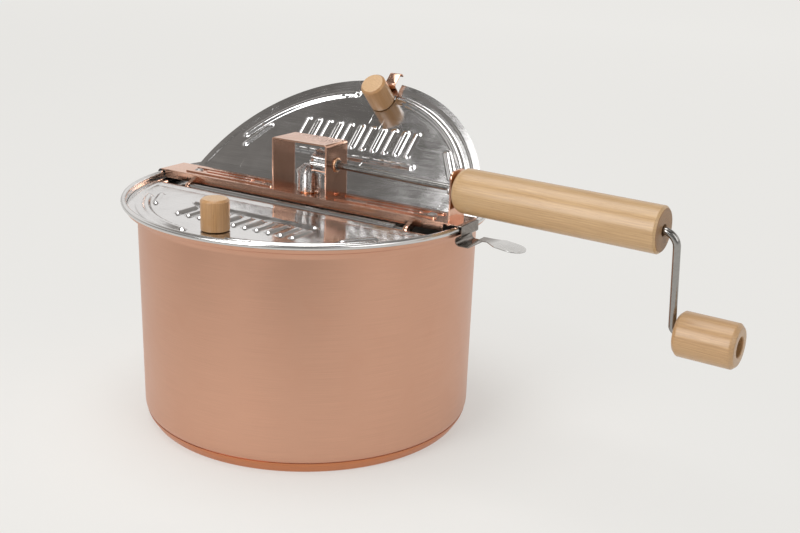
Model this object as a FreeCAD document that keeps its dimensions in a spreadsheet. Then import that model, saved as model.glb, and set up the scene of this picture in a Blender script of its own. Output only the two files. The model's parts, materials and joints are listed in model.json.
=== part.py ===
import FreeCAD, Part
import math
import os

import Sketcher

# Stovetop popcorn popper. Frame: origin on the pot's axis in the plane it stands on, +Z up,
# +X towards the handle, front lid on the -Y side, rear lid on the +Y side. Millimetres and degrees.

doc = FreeCAD.newDocument("popper")
sheet = doc.addObject("Spreadsheet::Sheet", "dims")

SIZES = [
    # Pot and base disc
    ("pot_radius", 116.75, "outside radius of the pot's wall under the rim"),
    ("wall_taper", 1.35, "how much smaller that radius is where the wall meets the floor's corner"),
    ("pot_wall", 1.0, "sheet thickness of the pot"),
    ("pot_floor_bottom", 2.0, "height of the pot floor's underside"),
    ("pot_corner", 11.5, "outside radius between wall and floor"),
    ("rim_height", 157.9, "height of the top of the rolled rim"),
    ("bead_round", 2.0, "radius of the rolled rim's section"),
    ("ledge_drop", 6.0, "depth of the ledge that carries the lids, under the rim's top"),
    ("flare_drop", 5.9, "depth under the ledge where the wall starts to open to it"),
    ("flare_reach", 1.45, "how far the wall opens to the ledge's inner edge"),
    ("ledge_width", 5.0, "width of the ledge under the lids' edges"),
    ("bead_out", 2.4, "distance of the rolled rim's centre line outside the lids' edge"),
    ("disc_inset", 4.9, "how far the base disc's foot stands inside the pot's"),
    ("disc_lip_inset", 1.0, "how far the base disc's upper lip stands inside the pot's wall"),
    ("disc_lip_height", 8.0, "height of the base disc's upper lip"),
    ("disc_edge", 1.0, "bevel round the foot of the base disc"),
    # Crossbar and its end pieces
    ("bar_half_width", 12.2, "half the width of the crossbar"),
    ("bar_inset", 1.6, "how far the crossbar's ends stand inside the outside of the rim"),
    ("bar_sheet", 0.7, "sheet thickness of the crossbar"),
    ("bar_flange", 6.0, "depth of the crossbar's side flanges"),
    ("bar_flange_left", 3.7, "how far the flanges end before the crossbar's end at the rim hook"),
    ("bar_flange_right", 11.0, "how far the flanges end before the crossbar's end at the handle"),
    ("rivet_inset", 27.6, "distance of the end rivets inside the outside of the rim"),
    ("strip_sheet", 0.6, "sheet thickness of the rim hook and the latch"),
    ("strip_half_width", 10.8, "half the width of the rim hook and of the latch outside the handle plate"),
    ("strip_neck_half", 6.2, "half the width of the latch's strip where it passes the handle plate"),
    ("hook_reach", 2.6, "room between the rolled rim and the rim hook's outer side"),
    ("bar_rib_width", 3.2, "width of the three stamped ribs on each half of the crossbar"),
    ("bar_rib_height", 0.9, "height of those ribs"),
    ("bar_rib_pitch", 6.2, "spacing of those ribs"),
    ("bar_rib_start", 28.0, "middle of the outer ribs' round end at the bracket"),
    ("bar_rib_end", 105.0, "middle of the outer ribs' other round end"),
    ("bar_rib_mid_start", 50.0, "middle of the middle rib's round end at the bracket"),
    ("bar_rib_mid_end", 91.0, "middle of the middle rib's other round end"),
    ("drain_hole_radius", 1.5, "radius of the two small holes beside the bracket"),
    ("drain_hole_place", 40.0, "place of the outer small hole"),
    ("drain_hole_pitch", 10.0, "spacing of the small holes"),
    # Lids and their hinges
    ("lid_sheet", 0.6, "sheet thickness of the lids"),
    ("lid_face", 1.2, "height of a closed lid's face over its hinge axis"),
    ("lid_gap", 0.3, "gap between a closed lid and the ledge"),
    ("hinge_offset", 19.0, "distance of each hinge axis from the pot's axis"),
    ("tube_radius", 2.7, "outside radius of the lid's rolled edge"),
    ("tube_long", 90.5, "reach of the rolled edge on one side of the middle"),
    ("tube_short", 83.5, "reach of the rolled edge on the other side, where the pin shows"),
    ("pin_radius", 1.4, "radius of the hinge pins"),
    ("pin_fit", 0.05, "radial clearance of the rolled edge on its pin"),
    ("lug_sheet", 3.0, "thickness of the hinge lugs"),
    ("lug_gap", 0.6, "clearance between a rolled edge and its lugs"),
    ("lug_radius", 3.4, "radius of the hinge lugs round the pin"),
    ("rear_lid_open", 43.7, "angle that the rear lid stands open"),
    ("lid_rib_inset", 12.7, "distance of the lids' long curved ribs from the lids' edge"),
    ("lid_rib_round", 2.6, "section radius of the lids' curved ribs"),
    ("lid_rib_span", 48.0, "angle that each curved rib covers"),
    ("lid_rib_turn", 56.5, "angle of each curved rib's middle from the lid's middle"),
    ("lid_bead_round", 2.2, "section radius of the lids' straight beads"),
    ("lid_bead_sink", 0.5, "depth of the beads' centre lines under the lid's face"),
    ("flute_pitch", 9.5, "spacing of the row of short beads"),
    ("flute_length", 22.0, "length of each short bead"),
    ("flute_place", 53.0, "distance of the row of short beads from the hinge"),
    ("long_bead_length", 105.0, "length of the long bead before the row"),
    ("long_bead_gap", 7.0, "distance of the long bead from the row"),
    ("long_bead_side", 5.0, "sideways place of the long bead"),
    ("side_bead_length", 27.0, "length of the slanting bead on each side"),
    ("side_bead_side", 83.5, "sideways place of those beads"),
    ("side_bead_out", 41.5, "distance of those beads from the hinge"),
    ("side_bead_slant", -57.0, "angle of those beads"),
    ("knob_radius", 9.3, "radius of the lid knobs"),
    ("knob_height", 20.4, "height of the lid knobs"),
    ("knob_bore", 14.0, "depth of the screw's bore in the lid knobs"),
    ("front_knob_side", 1.9, "sideways place of the front lid's knob"),
    ("front_knob_inset", 27.1, "distance of the front lid's knob inside the lid's edge"),
    ("rear_knob_side", 6.1, "sideways place of the rear lid's knob"),
    ("rear_knob_inset", 17.5, "distance of the rear lid's knob inside the lid's edge"),
    ("knob_edge", 1.5, "bevel round the top of the lid knobs"),
    ("screw_radius", 2.0, "shank radius of the knob screws"),
    ("screw_head", 4.0, "head radius of the knob screws"),
    ("screw_head_rise", 1.8, "head height of the knob screws"),
    # Spring clip on the rear lid
    ("clip_side", 9.6, "sideways place of the spring clip"),
    ("clip_width", 9.0, "width of the spring clip"),
    ("clip_sheet", 0.7, "sheet thickness of the spring clip"),
    ("clip_margin", 0.9, "room beside the clip in the lid's notch"),
    ("clip_foot", 3.0, "how far the clip's foot reaches past the screw's head"),
    ("clip_bend", 1.8, "inside radius of the clip's bend over the rim"),
    ("notch_depth", 8.0, "depth of the lid's notch from the rim"),
    ("clip_gap", 0.4, "clearance of the closed clip over the rolled rim"),
    # Gear bracket, gears and shafts
    ("bracket_left", 22.7, "outside of the bracket's left leg from the stirrer axis"),
    ("bracket_right", 23.2, "outside of the bracket's right leg from the stirrer axis"),
    ("bracket_half_width", 12.4, "half the width of the bracket"),
    ("bracket_height", 37.1, "height of the bracket over the crossbar"),
    ("bracket_sheet", 1.2, "sheet thickness of the bracket"),
    ("bracket_bend", 1.6, "outside radius of the bracket's bends"),
    ("tab_half_width", 4.0, "half the width of the bracket's tabs"),
    ("tab_length", 4.0, "length of the tabs' bent ends"),
    ("tab_fit", 0.1, "clearance of the tabs in the crossbar's slots"),
    ("crank_rise", 22.5, "height over the crossbar where the crank axis meets the stirrer axis"),
    ("crank_fall", 0.021, "fall of the crank axis towards the handle, per millimetre"),
    ("crank_rest", 9.9, "angle of the crank arm from straight down at rest"),
    ("rod_radius", 2.38, "radius of the crank rod and the stirrer shaft"),
    ("rod_fit", 0.06, "radial clearance of a rod in its bushing"),
    ("gear_pitch_radius", 8.2, "pitch radius of both mitre gears at their backs"),
    ("gear_tooth_rise", 1.1, "height of a tooth over the pitch cone"),
    ("gear_tooth_root", 1.9, "depth of a tooth under the pitch cone"),
    ("gear_face", 5.0, "length of the toothed cone along its axis"),
    ("gear_teeth", 10, "number of teeth on each mitre gear"),
    ("bushing_radius", 4.2, "outside radius of the bushings"),
    ("bushing_flange", 6.0, "radius of the bushings' flanges"),
    ("bushing_lip", 0.9, "thickness of the bushings' flanges"),
    ("bushing_foot", 3.0, "length of the upright bushing under the crossbar's sheet"),
    ("crank_bushing_out", 0.8, "how far the crank's bushing stands out of the bracket"),
    ("face_gap", 0.1, "gap between faces that turn on each other"),
    ("stirrer_ring_radius", 4.6, "outside radius of the stirrer shaft's retaining ring"),
    ("crank_ring_radius", 3.6, "outside radius of the crank rod's retaining ring"),
    ("ring_sheet", 0.7, "thickness of the shaft retaining rings"),
    # Handle, crank arm and crank knob
    ("handle_inset", 9.1, "how far the handle's inner end stands inside the outside of the rim"),
    ("handle_length", 138.4, "length of the handle"),
    ("handle_radius", 14.6, "radius of the handle"),
    ("handle_nose", 7.0, "rounding of the handle's inner end"),
    ("handle_edge", 1.6, "bevel round the handle's outer end"),
    ("handle_bore", 3.6, "radius of the hole along the handle"),
    ("plate_gap", 0.3, "gap between the handle plate and the handle"),
    ("plate_sheet", 1.2, "sheet thickness of the handle plate"),
    ("plate_half_width", 9.2, "half the width of the handle plate"),
    ("plate_corner", 5.0, "rounding of the handle plate's upper corners"),
    ("plate_foot", 22.0, "length of the handle plate's foot under the crossbar"),
    ("plate_height", 32.7, "height of the handle plate over the crossbar"),
    ("wood_screw_place", 6.4, "distance of the handle screws from the crank axis"),
    ("wood_screw_radius", 1.6, "shank radius of the handle screws"),
    ("wood_screw_length", 25.0, "shank length of the handle screws"),
    ("arm_gap", 8.3, "distance of the crank arm's middle from the handle's outer end"),
    ("arm_length", 65.0, "distance between the crank axis and the knob's axis"),
    ("arm_bend", 9.0, "bend radius where the rod turns into the arm"),
    ("pin_bend", 3.8, "bend radius where the arm turns into the knob's pin"),
    ("grip_gap", 4.0, "distance of the crank knob from the arm's middle"),
    ("grip_length", 37.8, "length of the crank knob"),
    ("grip_radius", 14.1, "radius of the crank knob"),
    ("grip_edge", 2.2, "bevel round both ends of the crank knob"),
    ("grip_bore", 2.46, "radius of the crank knob's running bore"),
    ("grip_counterbore", 6.2, "radius of the recess in the crank knob's outer end"),
    ("grip_recess", 7.0, "depth of that recess"),
    ("pin_end", 2.2, "how far the crank's pin stands out in that recess"),
    # Stirrer
    ("stirrer_wire", 1.5, "radius of the stirring wire"),
    ("stirrer_lift", 2.4, "gap between the stirring wire and the pot floor"),
    ("stirrer_straight", 14.0, "straight stretch of the wire beside the shaft"),
    ("stirrer_curve", 45.0, "bend radius of the wire's arms"),
    ("stirrer_blade", 62.0, "straight outer stretch of the wire's arms"),
    ("shaft_foot_gap", 0.6, "gap between the stirrer shaft's end and the pot floor"),
    # Latch under the handle
    ("latch_gap", 0.2, "clearance of the rim hook and the latch round the rolled rim"),
    ("latch_pivot_gap", 0.12, "gap at the bend where the latch flexes"),
    ("latch_curl", 3.0, "centre line radius of the latch's curl"),
    ("latch_curl_inset", 0.9, "distance of the curl's middle inside the latch's upright"),
    ("latch_curl_drop", 9.5, "depth of the middle of that curl under the rim's top"),
    ("latch_turn", 0.7, "inside radius where the upright turns into the curl"),
    ("latch_foot", 6.6, "length of the latch's foot from the curl's middle"),
    ("latch_rise_run", 3.0, "run over which the strip rises from the foot to the neck"),
    ("latch_rise", 4.2, "height of the neck over the foot"),
    ("latch_neck", 7.0, "length of the neck"),
    ("latch_tab_reach", 40.4, "end of the finger tab outside the rim"),
    ("latch_tab_drop", 11.3, "depth of the finger tab's end under the rim's top"),
    ("latch_neck_half", 4.5, "half the width of the tab's neck"),
    ("latch_tab_half", 9.0, "half the width of the tab"),
    # Small rivets
    ("rivet_radius", 1.6, "shank radius of the rivets"),
    ("rivet_head", 3.2, "head radius of the rivets"),
    ("rivet_rise", 1.2, "head height of the rivets"),
    ("cross_pin_radius", 0.8, "radius of the gears' cross pins"),
]


class Size:
    """A size with its value and the sheet expression that gives the same value."""

    def __init__(self, value, text):
        self.value = float(value)
        self.text = text

    def _join(self, other, sign, value):
        other = as_size(other)
        return Size(value(self.value, other.value), "(%s %s %s)" % (self.text, sign, other.text))

    def __add__(self, other):
        return self._join(other, "+", lambda a, b: a + b)

    def __sub__(self, other):
        return self._join(other, "-", lambda a, b: a - b)

    def __mul__(self, other):
        return self._join(other, "*", lambda a, b: a * b)

    def __truediv__(self, other):
        return self._join(other, "/", lambda a, b: a / b)

    def __radd__(self, other):
        return as_size(other) + self

    def __rsub__(self, other):
        return as_size(other) - self

    def __rmul__(self, other):
        return as_size(other) * self

    def __neg__(self):
        return Size(-self.value, "(-1 * %s)" % self.text)

    def __float__(self):
        return self.value


def as_size(value):
    """A Size as it is, or a plain number as a Size with no cell behind it."""
    return value if isinstance(value, Size) else Size(value, "%.12g" % value)


class Dims:
    """The driving dimensions, each read by its name."""


dim = Dims()
for row, (alias, value, note) in enumerate(SIZES, start=1):
    sheet.set("A%d" % row, note)
    sheet.set("B%d" % row, "%g" % value)
    sheet.setAlias("B%d" % row, alias)
    setattr(dim, alias, Size(value, "dims." + alias))
doc.recompute()


def root(size):
    """The square root of a Size."""
    size = as_size(size)
    return Size(math.sqrt(size.value), "sqrt(%s)" % size.text)


def chord(radius, offset):
    """Half the chord of a circle at a distance from its centre."""
    return root(radius * radius - offset * offset)


# Places that follow from the driving dimensions, from the pot's axis and the plane it stands on
POT_FOOT = dim.pot_radius - dim.wall_taper
POT_FLOOR = dim.pot_floor_bottom + dim.pot_wall
LEDGE_INNER = dim.pot_radius + dim.flare_reach
LID_RADIUS = LEDGE_INNER + dim.ledge_width
LID_REACH = LID_RADIUS - dim.hinge_offset
FRONT_KNOB_OUT = LID_REACH - dim.front_knob_inset
REAR_KNOB_OUT = LID_REACH - dim.rear_knob_inset
BEAD_RADIUS = LID_RADIUS + dim.bead_out
BEAD_OUTER = BEAD_RADIUS + dim.bead_round
BEAD_HEIGHT = dim.rim_height - dim.bead_round
LEDGE_TOP = dim.rim_height - dim.ledge_drop
FLARE_START = LEDGE_TOP - dim.flare_drop
LID_UNDERSIDE = dim.lid_face - dim.lid_sheet
HINGE_HEIGHT = LEDGE_TOP + dim.lid_gap - LID_UNDERSIDE
RIM_OVER_HINGE = dim.rim_height - HINGE_HEIGHT
STRIP_BOTTOM = dim.rim_height + dim.face_gap
BAR_BOTTOM = STRIP_BOTTOM + dim.strip_sheet
BAR_TOP = BAR_BOTTOM + dim.bar_sheet
BAR_END = BEAD_OUTER - dim.bar_inset
RIVET_PLACE = BEAD_OUTER - dim.rivet_inset
LUG_START = dim.tube_long + dim.lug_gap
LUG_END = LUG_START + dim.lug_sheet
CRANK_HEIGHT = BAR_TOP + dim.crank_rise
HANDLE_START = BEAD_OUTER - dim.handle_inset
HANDLE_END = HANDLE_START + dim.handle_length
ARM_PLACE = HANDLE_END + dim.arm_gap
GRIP_START = ARM_PLACE + dim.grip_gap
PLATE_OUTER = HANDLE_START - dim.plate_gap
PLATE_INNER = PLATE_OUTER - dim.plate_sheet
FOOT_BOTTOM = STRIP_BOTTOM - dim.plate_sheet
PLATE_WINDOW = dim.strip_neck_half + 0.4
LEG_INNER = dim.bracket_right - dim.bracket_sheet
BUSHING_FACE = LEG_INNER - dim.bushing_flange * dim.crank_fall - dim.face_gap / 2
BUSHING_END = dim.bracket_right + dim.bushing_flange * dim.crank_fall + dim.crank_bushing_out
LATCH_INNER = BEAD_OUTER + dim.latch_gap
LATCH_PIVOT = LATCH_INNER + dim.strip_sheet / 2
LATCH_PIVOT_HEIGHT = STRIP_BOTTOM + dim.strip_sheet / 2
SHAFT_END = dim.gear_pitch_radius - dim.gear_face

NODES = {}
V = FreeCAD.Vector
FULL_TURN = 360
HOOK_OVERLAP = 10  # how far the strips reach past the rivets


def crank_at(distance):
    """Height of the crank axis at a distance from the stirrer axis."""
    return CRANK_HEIGHT - distance * dim.crank_fall


def bind(item, path, size):
    """Give a property a size, as an expression where the size comes from the sheet."""
    size = as_size(size)
    if "." not in path:
        setattr(item, path, size.value)
    if "dims." in size.text:
        item.setExpression(path, size.text)


def new_body(name):
    body = doc.addObject("PartDesign::Body", name)
    body.Label = name
    NODES[name] = body
    return body


def datum(body, role):
    """An origin plane or axis of a body."""
    return next(item for item in body.Origin.OriginFeatures if item.Role == role)


def new_sketch(body, plane, lift=0, spin=0, shift=(0, 0)):
    """A sketch on an origin plane, lifted along its normal, turned and shifted within it."""
    sketch = body.newObject("Sketcher::SketchObject", "Sketch")
    sketch.AttachmentSupport = [(datum(body, plane), "")]
    sketch.MapMode = "FlatFace"
    place = V(float(shift[0]), float(shift[1]), float(lift))
    sketch.AttachmentOffset = FreeCAD.Placement(place, FreeCAD.Rotation(V(0, 0, 1), float(spin)))
    for axis, size in (("x", shift[0]), ("y", shift[1]), ("z", lift)):
        size = as_size(size)
        if "dims." in size.text:
            sketch.setExpression("AttachmentOffset.Base." + axis, size.text)
    return sketch


def fix_value(sketch, constraint, name, size):
    """Add a constraint with a value and bind it to the sheet."""
    size = as_size(size)
    index = sketch.addConstraint(constraint)
    sketch.renameConstraint(index, name)
    if "dims." in size.text:
        sketch.setExpression("Constraints." + name, size.text)


def arc_between(start, end, radius):
    """The shorter arc between two points: anticlockwise for a positive radius, else clockwise."""
    middle = (start + end) / 2
    half = (end - start) / 2
    side = V(-half.y, half.x, 0).normalize()
    if radius < 0:
        side = -side
    depth = math.sqrt(max(radius * radius - half.Length ** 2, 0))
    centre = middle + side * depth
    return Part.Arc(start, centre - side * abs(radius), end)


def draw(sketch, points, closed=True):
    """Lines and arcs through fixed points. A point's third value is the radius of the arc after it."""
    spots = [V(float(point[0]), float(point[1]), 0) for point in points]
    count = len(points) if closed else len(points) - 1
    ends = []
    for index in range(count):
        start = spots[index]
        end = spots[(index + 1) % len(points)]
        bent = len(points[index]) > 2
        curve = arc_between(start, end, float(points[index][2])) if bent else Part.LineSegment(start, end)
        number = sketch.addGeometry(curve)
        from_start = sketch.getPoint(number, 1).distanceToPoint(start)
        forward = from_start < sketch.getPoint(number, 2).distanceToPoint(start)
        ends.append((number, 1, 2) if forward else (number, 2, 1))
        if bent:
            radius = as_size(points[index][2])
            radius = radius if radius.value > 0 else -radius
            limit = Sketcher.Constraint("Radius", number, radius.value)
            fix_value(sketch, limit, "radius%d" % number, radius)
    for index in range(count if closed else count - 1):
        number, _, last = ends[index]
        following, first, _ = ends[(index + 1) % count]
        sketch.addConstraint(Sketcher.Constraint("Coincident", number, last, following, first))
    pins = [(ends[index][0], ends[index][1], points[index]) for index in range(count)]
    if not closed:
        pins.append((ends[-1][0], ends[-1][2], points[-1]))
    for number, corner, point in pins:
        for kind, size in (("DistanceX", point[0]), ("DistanceY", point[1])):
            limit = Sketcher.Constraint(kind, -1, 1, number, corner, float(size))
            fix_value(sketch, limit, "%s%d_%d" % (kind, number, corner), size)


def circle(sketch, across, along, radius):
    number = sketch.addGeometry(Part.Circle(V(float(across), float(along), 0), V(0, 0, 1), float(radius)))
    fix_value(sketch, Sketcher.Constraint("Radius", number, float(radius)), "radius%d" % number, radius)
    for kind, size in (("DistanceX", across), ("DistanceY", along)):
        limit = Sketcher.Constraint(kind, -1, 1, number, 3, float(size))
        fix_value(sketch, limit, "%s%d" % (kind, number), size)


def box_points(x_low, y_low, x_high, y_high):
    return [(x_low, y_low), (x_high, y_low), (x_high, y_high), (x_low, y_high)]


def slot_points(start, end, half, across=0):
    """A rounded slot along the sketch's first axis."""
    low = across - half
    high = across + half
    return [
        (start, low), (end, low, half), (end + half, across, half),
        (end, high), (start, high, half), (start - half, across, half),
    ]


def mirrored_points(points):
    """The same outline on the other side of the sketch's first axis, drawn the other way round."""
    count = len(points)
    flipped = []
    for index in range(count):
        x, y = points[-index - 1][:2]
        before = points[-index - 2] if index < count - 1 else points[-1]
        flipped.append((x, -as_size(y)) + tuple(before[2:]))
    return flipped


def pad(body, sketch, length, centred=False, down=False):
    feature = body.newObject("PartDesign::Pad", "Pad")
    feature.Profile = sketch
    bind(feature, "Length", length)
    feature.Midplane = centred
    feature.Reversed = down
    return feature


def cut_through(body, sketch):
    """Cut a sketch through the whole piece, both ways, and make sure that it removed something."""
    doc.recompute()
    before = body.Shape.Volume
    feature = body.newObject("PartDesign::Pocket", "Pocket")
    feature.Profile = sketch
    feature.Type = "ThroughAll"
    feature.Midplane = True
    doc.recompute()
    if not body.Shape.Volume < before:
        raise ValueError("a cut in %s removed nothing" % body.Label)
    return feature


def cut_depth(body, sketch, depth, up=False):
    """Cut a sketch to a depth below its plane, or above it."""
    doc.recompute()
    before = body.Shape.Volume
    feature = body.newObject("PartDesign::Pocket", "Pocket")
    feature.Profile = sketch
    bind(feature, "Length", depth)
    feature.Reversed = up
    doc.recompute()
    if not body.Shape.Volume < before:
        raise ValueError("a pocket in %s removed nothing" % body.Label)
    return feature


def revolve(body, sketch, axis="V_Axis", angle=FULL_TURN, centred=False):
    feature = body.newObject("PartDesign::Revolution", "Revolution")
    feature.Profile = sketch
    feature.ReferenceAxis = (sketch, [axis])
    bind(feature, "Angle", angle)
    feature.Midplane = centred
    return feature


def repeat_mirrored(body, originals, plane="YZ_Plane"):
    feature = body.newObject("PartDesign::Mirrored", "Mirrored")
    feature.Originals = originals
    feature.MirrorPlane = (datum(body, plane), [""])
    body.Tip = feature
    return feature


def repeat_round(body, originals, count):
    feature = body.newObject("PartDesign::PolarPattern", "PolarPattern")
    feature.Originals = originals
    feature.Axis = (datum(body, "Z_Axis"), [""])
    feature.Angle = FULL_TURN
    feature.Occurrences = count
    body.Tip = feature
    return feature


def turned_piece(name, points, axis="V_Axis"):
    """A piece turned on a lathe from a half outline."""
    body = new_body(name)
    sketch = new_sketch(body, "XZ_Plane")
    draw(sketch, points)
    revolve(body, sketch, axis)
    return body


def placed(x=0, y=0, z=0, rotation=None):
    return FreeCAD.Placement(V(float(x), float(y), float(z)), rotation or FreeCAD.Rotation())


def about(axis, angle):
    return FreeCAD.Rotation(axis, float(angle))


X_AXIS = V(1, 0, 0)
Y_AXIS = V(0, 1, 0)
Z_AXIS = V(0, 0, 1)
DROOP = math.degrees(math.atan(dim.crank_fall.value))
AXIS_PLACE = placed(0, 0, CRANK_HEIGHT, about(Y_AXIS, DROOP))
CRANK_PLACE = AXIS_PLACE * placed(rotation=about(X_AXIS, dim.crank_rest))
REAR_HINGE = placed(0, dim.hinge_offset, HINGE_HEIGHT)
REAR_PLACE = REAR_HINGE * placed(rotation=about(X_AXIS, dim.rear_lid_open))
FRONT_PLACE = placed(rotation=about(Z_AXIS, 180)) * REAR_HINGE


def make_pot_shell():
    """Spun pot with a flared ledge for the lids and a rolled rim."""
    wall = dim.pot_wall
    corner = dim.pot_corner
    low = dim.pot_floor_bottom
    bead = dim.bead_round
    ledge_outer = LID_RADIUS + dim.lid_gap
    body = new_body("pot_shell")
    sketch = new_sketch(body, "XZ_Plane")
    draw(sketch, [
        (0, low),
        (POT_FOOT - corner, low, corner),
        (POT_FOOT, low + corner),
        (dim.pot_radius, FLARE_START),
        (LEDGE_INNER + 0.5 * wall, LEDGE_TOP - wall),
        (ledge_outer + 0.95 * wall, LEDGE_TOP - wall),
        (BEAD_RADIUS - 0.1 * bead, BEAD_HEIGHT - 0.7 * bead),
        (BEAD_RADIUS - 0.55 * bead, BEAD_HEIGHT - 0.3 * bead),
        (ledge_outer, LEDGE_TOP),
        (LEDGE_INNER, LEDGE_TOP),
        (dim.pot_radius - wall, FLARE_START + 0.3 * wall),
        (POT_FOOT - wall, low + corner, -(corner - wall)),
        (POT_FOOT - corner, low + wall),
        (0, low + wall),
    ])
    revolve(body, sketch)
    rim = new_sketch(body, "XZ_Plane")
    circle(rim, BEAD_RADIUS, BEAD_HEIGHT, bead)
    revolve(body, rim)


def make_base_disc():
    """Heavy disc pressed round the foot of the pot."""
    corner = dim.pot_corner
    corner_middle = POT_FOOT - corner
    rise = dim.pot_floor_bottom + corner - dim.disc_lip_height
    foot = POT_FOOT - dim.disc_inset
    turned_piece("base_disc", [
        (0, 0),
        (foot - dim.disc_edge, 0),
        (foot, dim.disc_edge),
        (POT_FOOT - dim.disc_lip_inset, dim.disc_lip_height),
        (corner_middle + chord(corner, rise), dim.disc_lip_height, -corner),
        (corner_middle, dim.pot_floor_bottom),
        (0, dim.pot_floor_bottom),
    ])


def make_crossbar():
    """Pressed channel across the pot, with hinge lugs, three stamped ribs on each half and its holes."""
    half = dim.bar_half_width
    low = BAR_TOP - dim.bar_flange
    left = dim.bar_flange_left - BAR_END
    right = BAR_END - dim.bar_flange_right
    body = new_body("crossbar")
    side = new_sketch(body, "XZ_Plane")
    draw(side, [
        (left, low), (right, low), (right, BAR_BOTTOM), (BAR_END, BAR_BOTTOM), (BAR_END, BAR_TOP),
        (-BAR_END, BAR_TOP), (-BAR_END, BAR_BOTTOM), (left, BAR_BOTTOM),
    ])
    pad(body, side, half * 2, centred=True)
    inside = new_sketch(body, "YZ_Plane")
    inner = half - dim.bar_sheet
    draw(inside, box_points(-inner, low - dim.bar_flange, inner, BAR_BOTTOM))
    cut_through(body, inside)
    lugs = new_sketch(body, "YZ_Plane", lift=LUG_START)
    radius = dim.lug_radius
    pin_y = dim.hinge_offset
    pin_z = HINGE_HEIGHT
    lug = [
        (inner, low), (pin_y, pin_z - radius, radius), (pin_y + radius, pin_z, radius),
        (pin_y, pin_z + radius), (inner, BAR_BOTTOM),
    ]
    draw(lugs, lug)
    mirrored = [(-as_size(point[0]),) + point[1:2] for point in reversed(lug)]
    mirrored[1] += (radius,)
    mirrored[2] += (radius,)
    draw(lugs, mirrored)
    lug_pad = pad(body, lugs, dim.lug_sheet)
    repeat_mirrored(body, [lug_pad])
    ribs = new_sketch(body, "XY_Plane", lift=BAR_TOP)
    rib_half = dim.bar_rib_width / 2
    draw(ribs, slot_points(dim.bar_rib_mid_start, dim.bar_rib_mid_end, rib_half))
    for across in (dim.bar_rib_pitch, -dim.bar_rib_pitch):
        draw(ribs, slot_points(dim.bar_rib_start, dim.bar_rib_end, rib_half, across))
    rib_pad = pad(body, ribs, dim.bar_rib_height)
    repeat_mirrored(body, [rib_pad])
    pins = new_sketch(body, "YZ_Plane")
    circle(pins, pin_y, pin_z, dim.pin_radius)
    circle(pins, -pin_y, pin_z, dim.pin_radius)
    cut_through(body, pins)
    holes = new_sketch(body, "XY_Plane")
    circle(holes, 0, 0, dim.bushing_radius)
    circle(holes, RIVET_PLACE, 0, dim.rivet_radius)
    circle(holes, -RIVET_PLACE, 0, dim.rivet_radius)
    circle(holes, -dim.drain_hole_place, 0, dim.drain_hole_radius)
    circle(holes, dim.drain_hole_pitch - dim.drain_hole_place, 0, dim.drain_hole_radius)
    fit = dim.tab_fit
    tab = dim.tab_half_width + fit
    draw(holes, box_points(LEG_INNER - fit, -tab, dim.bracket_right + fit, tab))
    draw(holes, box_points(-dim.bracket_left - fit, -tab, dim.bracket_sheet - dim.bracket_left + fit, tab))
    prong_in = PLATE_WINDOW - fit
    prong_out = dim.plate_half_width + fit
    draw(holes, box_points(PLATE_INNER - fit, prong_in, PLATE_OUTER + fit, prong_out))
    draw(holes, box_points(PLATE_INNER - fit, -prong_out, PLATE_OUTER + fit, -prong_in))
    cut_through(body, holes)


def make_rim_hook():
    """Steel strip that goes over the rolled rim at the end away from the handle."""
    sheet = dim.strip_sheet
    bend = dim.hook_reach
    bend_out = bend + sheet
    inner = -(BEAD_OUTER + dim.hook_reach)
    outer = inner - sheet
    start = HOOK_OVERLAP - RIVET_PLACE
    lip_top = BEAD_HEIGHT - dim.bead_round - bend
    lip_end = inner + bend + dim.bead_round
    body = new_body("rim_hook")
    sketch = new_sketch(body, "XZ_Plane")
    draw(sketch, [
        (start, STRIP_BOTTOM),
        (start, BAR_BOTTOM),
        (outer + bend_out, BAR_BOTTOM, bend_out),
        (outer, BAR_BOTTOM - bend_out),
        (outer, lip_top - sheet + bend_out, bend_out),
        (outer + bend_out, lip_top - sheet),
        (lip_end, lip_top - sheet),
        (lip_end, lip_top),
        (inner + bend, lip_top, -bend),
        (inner, lip_top + bend),
        (inner, STRIP_BOTTOM - bend, -bend),
        (inner + bend, STRIP_BOTTOM),
    ])
    pad(body, sketch, dim.strip_half_width * 2, centred=True)
    hole = new_sketch(body, "XY_Plane")
    circle(hole, -RIVET_PLACE, 0, dim.rivet_radius)
    cut_through(body, hole)


def make_latch_spring():
    """Fixed end of the latch: a steel strip under the crossbar that lies over the rolled rim."""
    body = new_body("latch_spring")
    sketch = new_sketch(body, "XY_Plane", lift=STRIP_BOTTOM)
    start = RIVET_PLACE - HOOK_OVERLAP
    end = LATCH_INNER - dim.latch_pivot_gap
    half = dim.strip_half_width
    neck = dim.strip_neck_half
    neck_end = PLATE_OUTER + 1
    draw(sketch, [
        (start, -neck), (neck_end, -neck), (neck_end, -half), (end, -half),
        (end, half), (neck_end, half), (neck_end, neck), (start, neck),
    ])
    circle(sketch, RIVET_PLACE, 0, dim.rivet_radius)
    pad(body, sketch, dim.strip_sheet)


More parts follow.
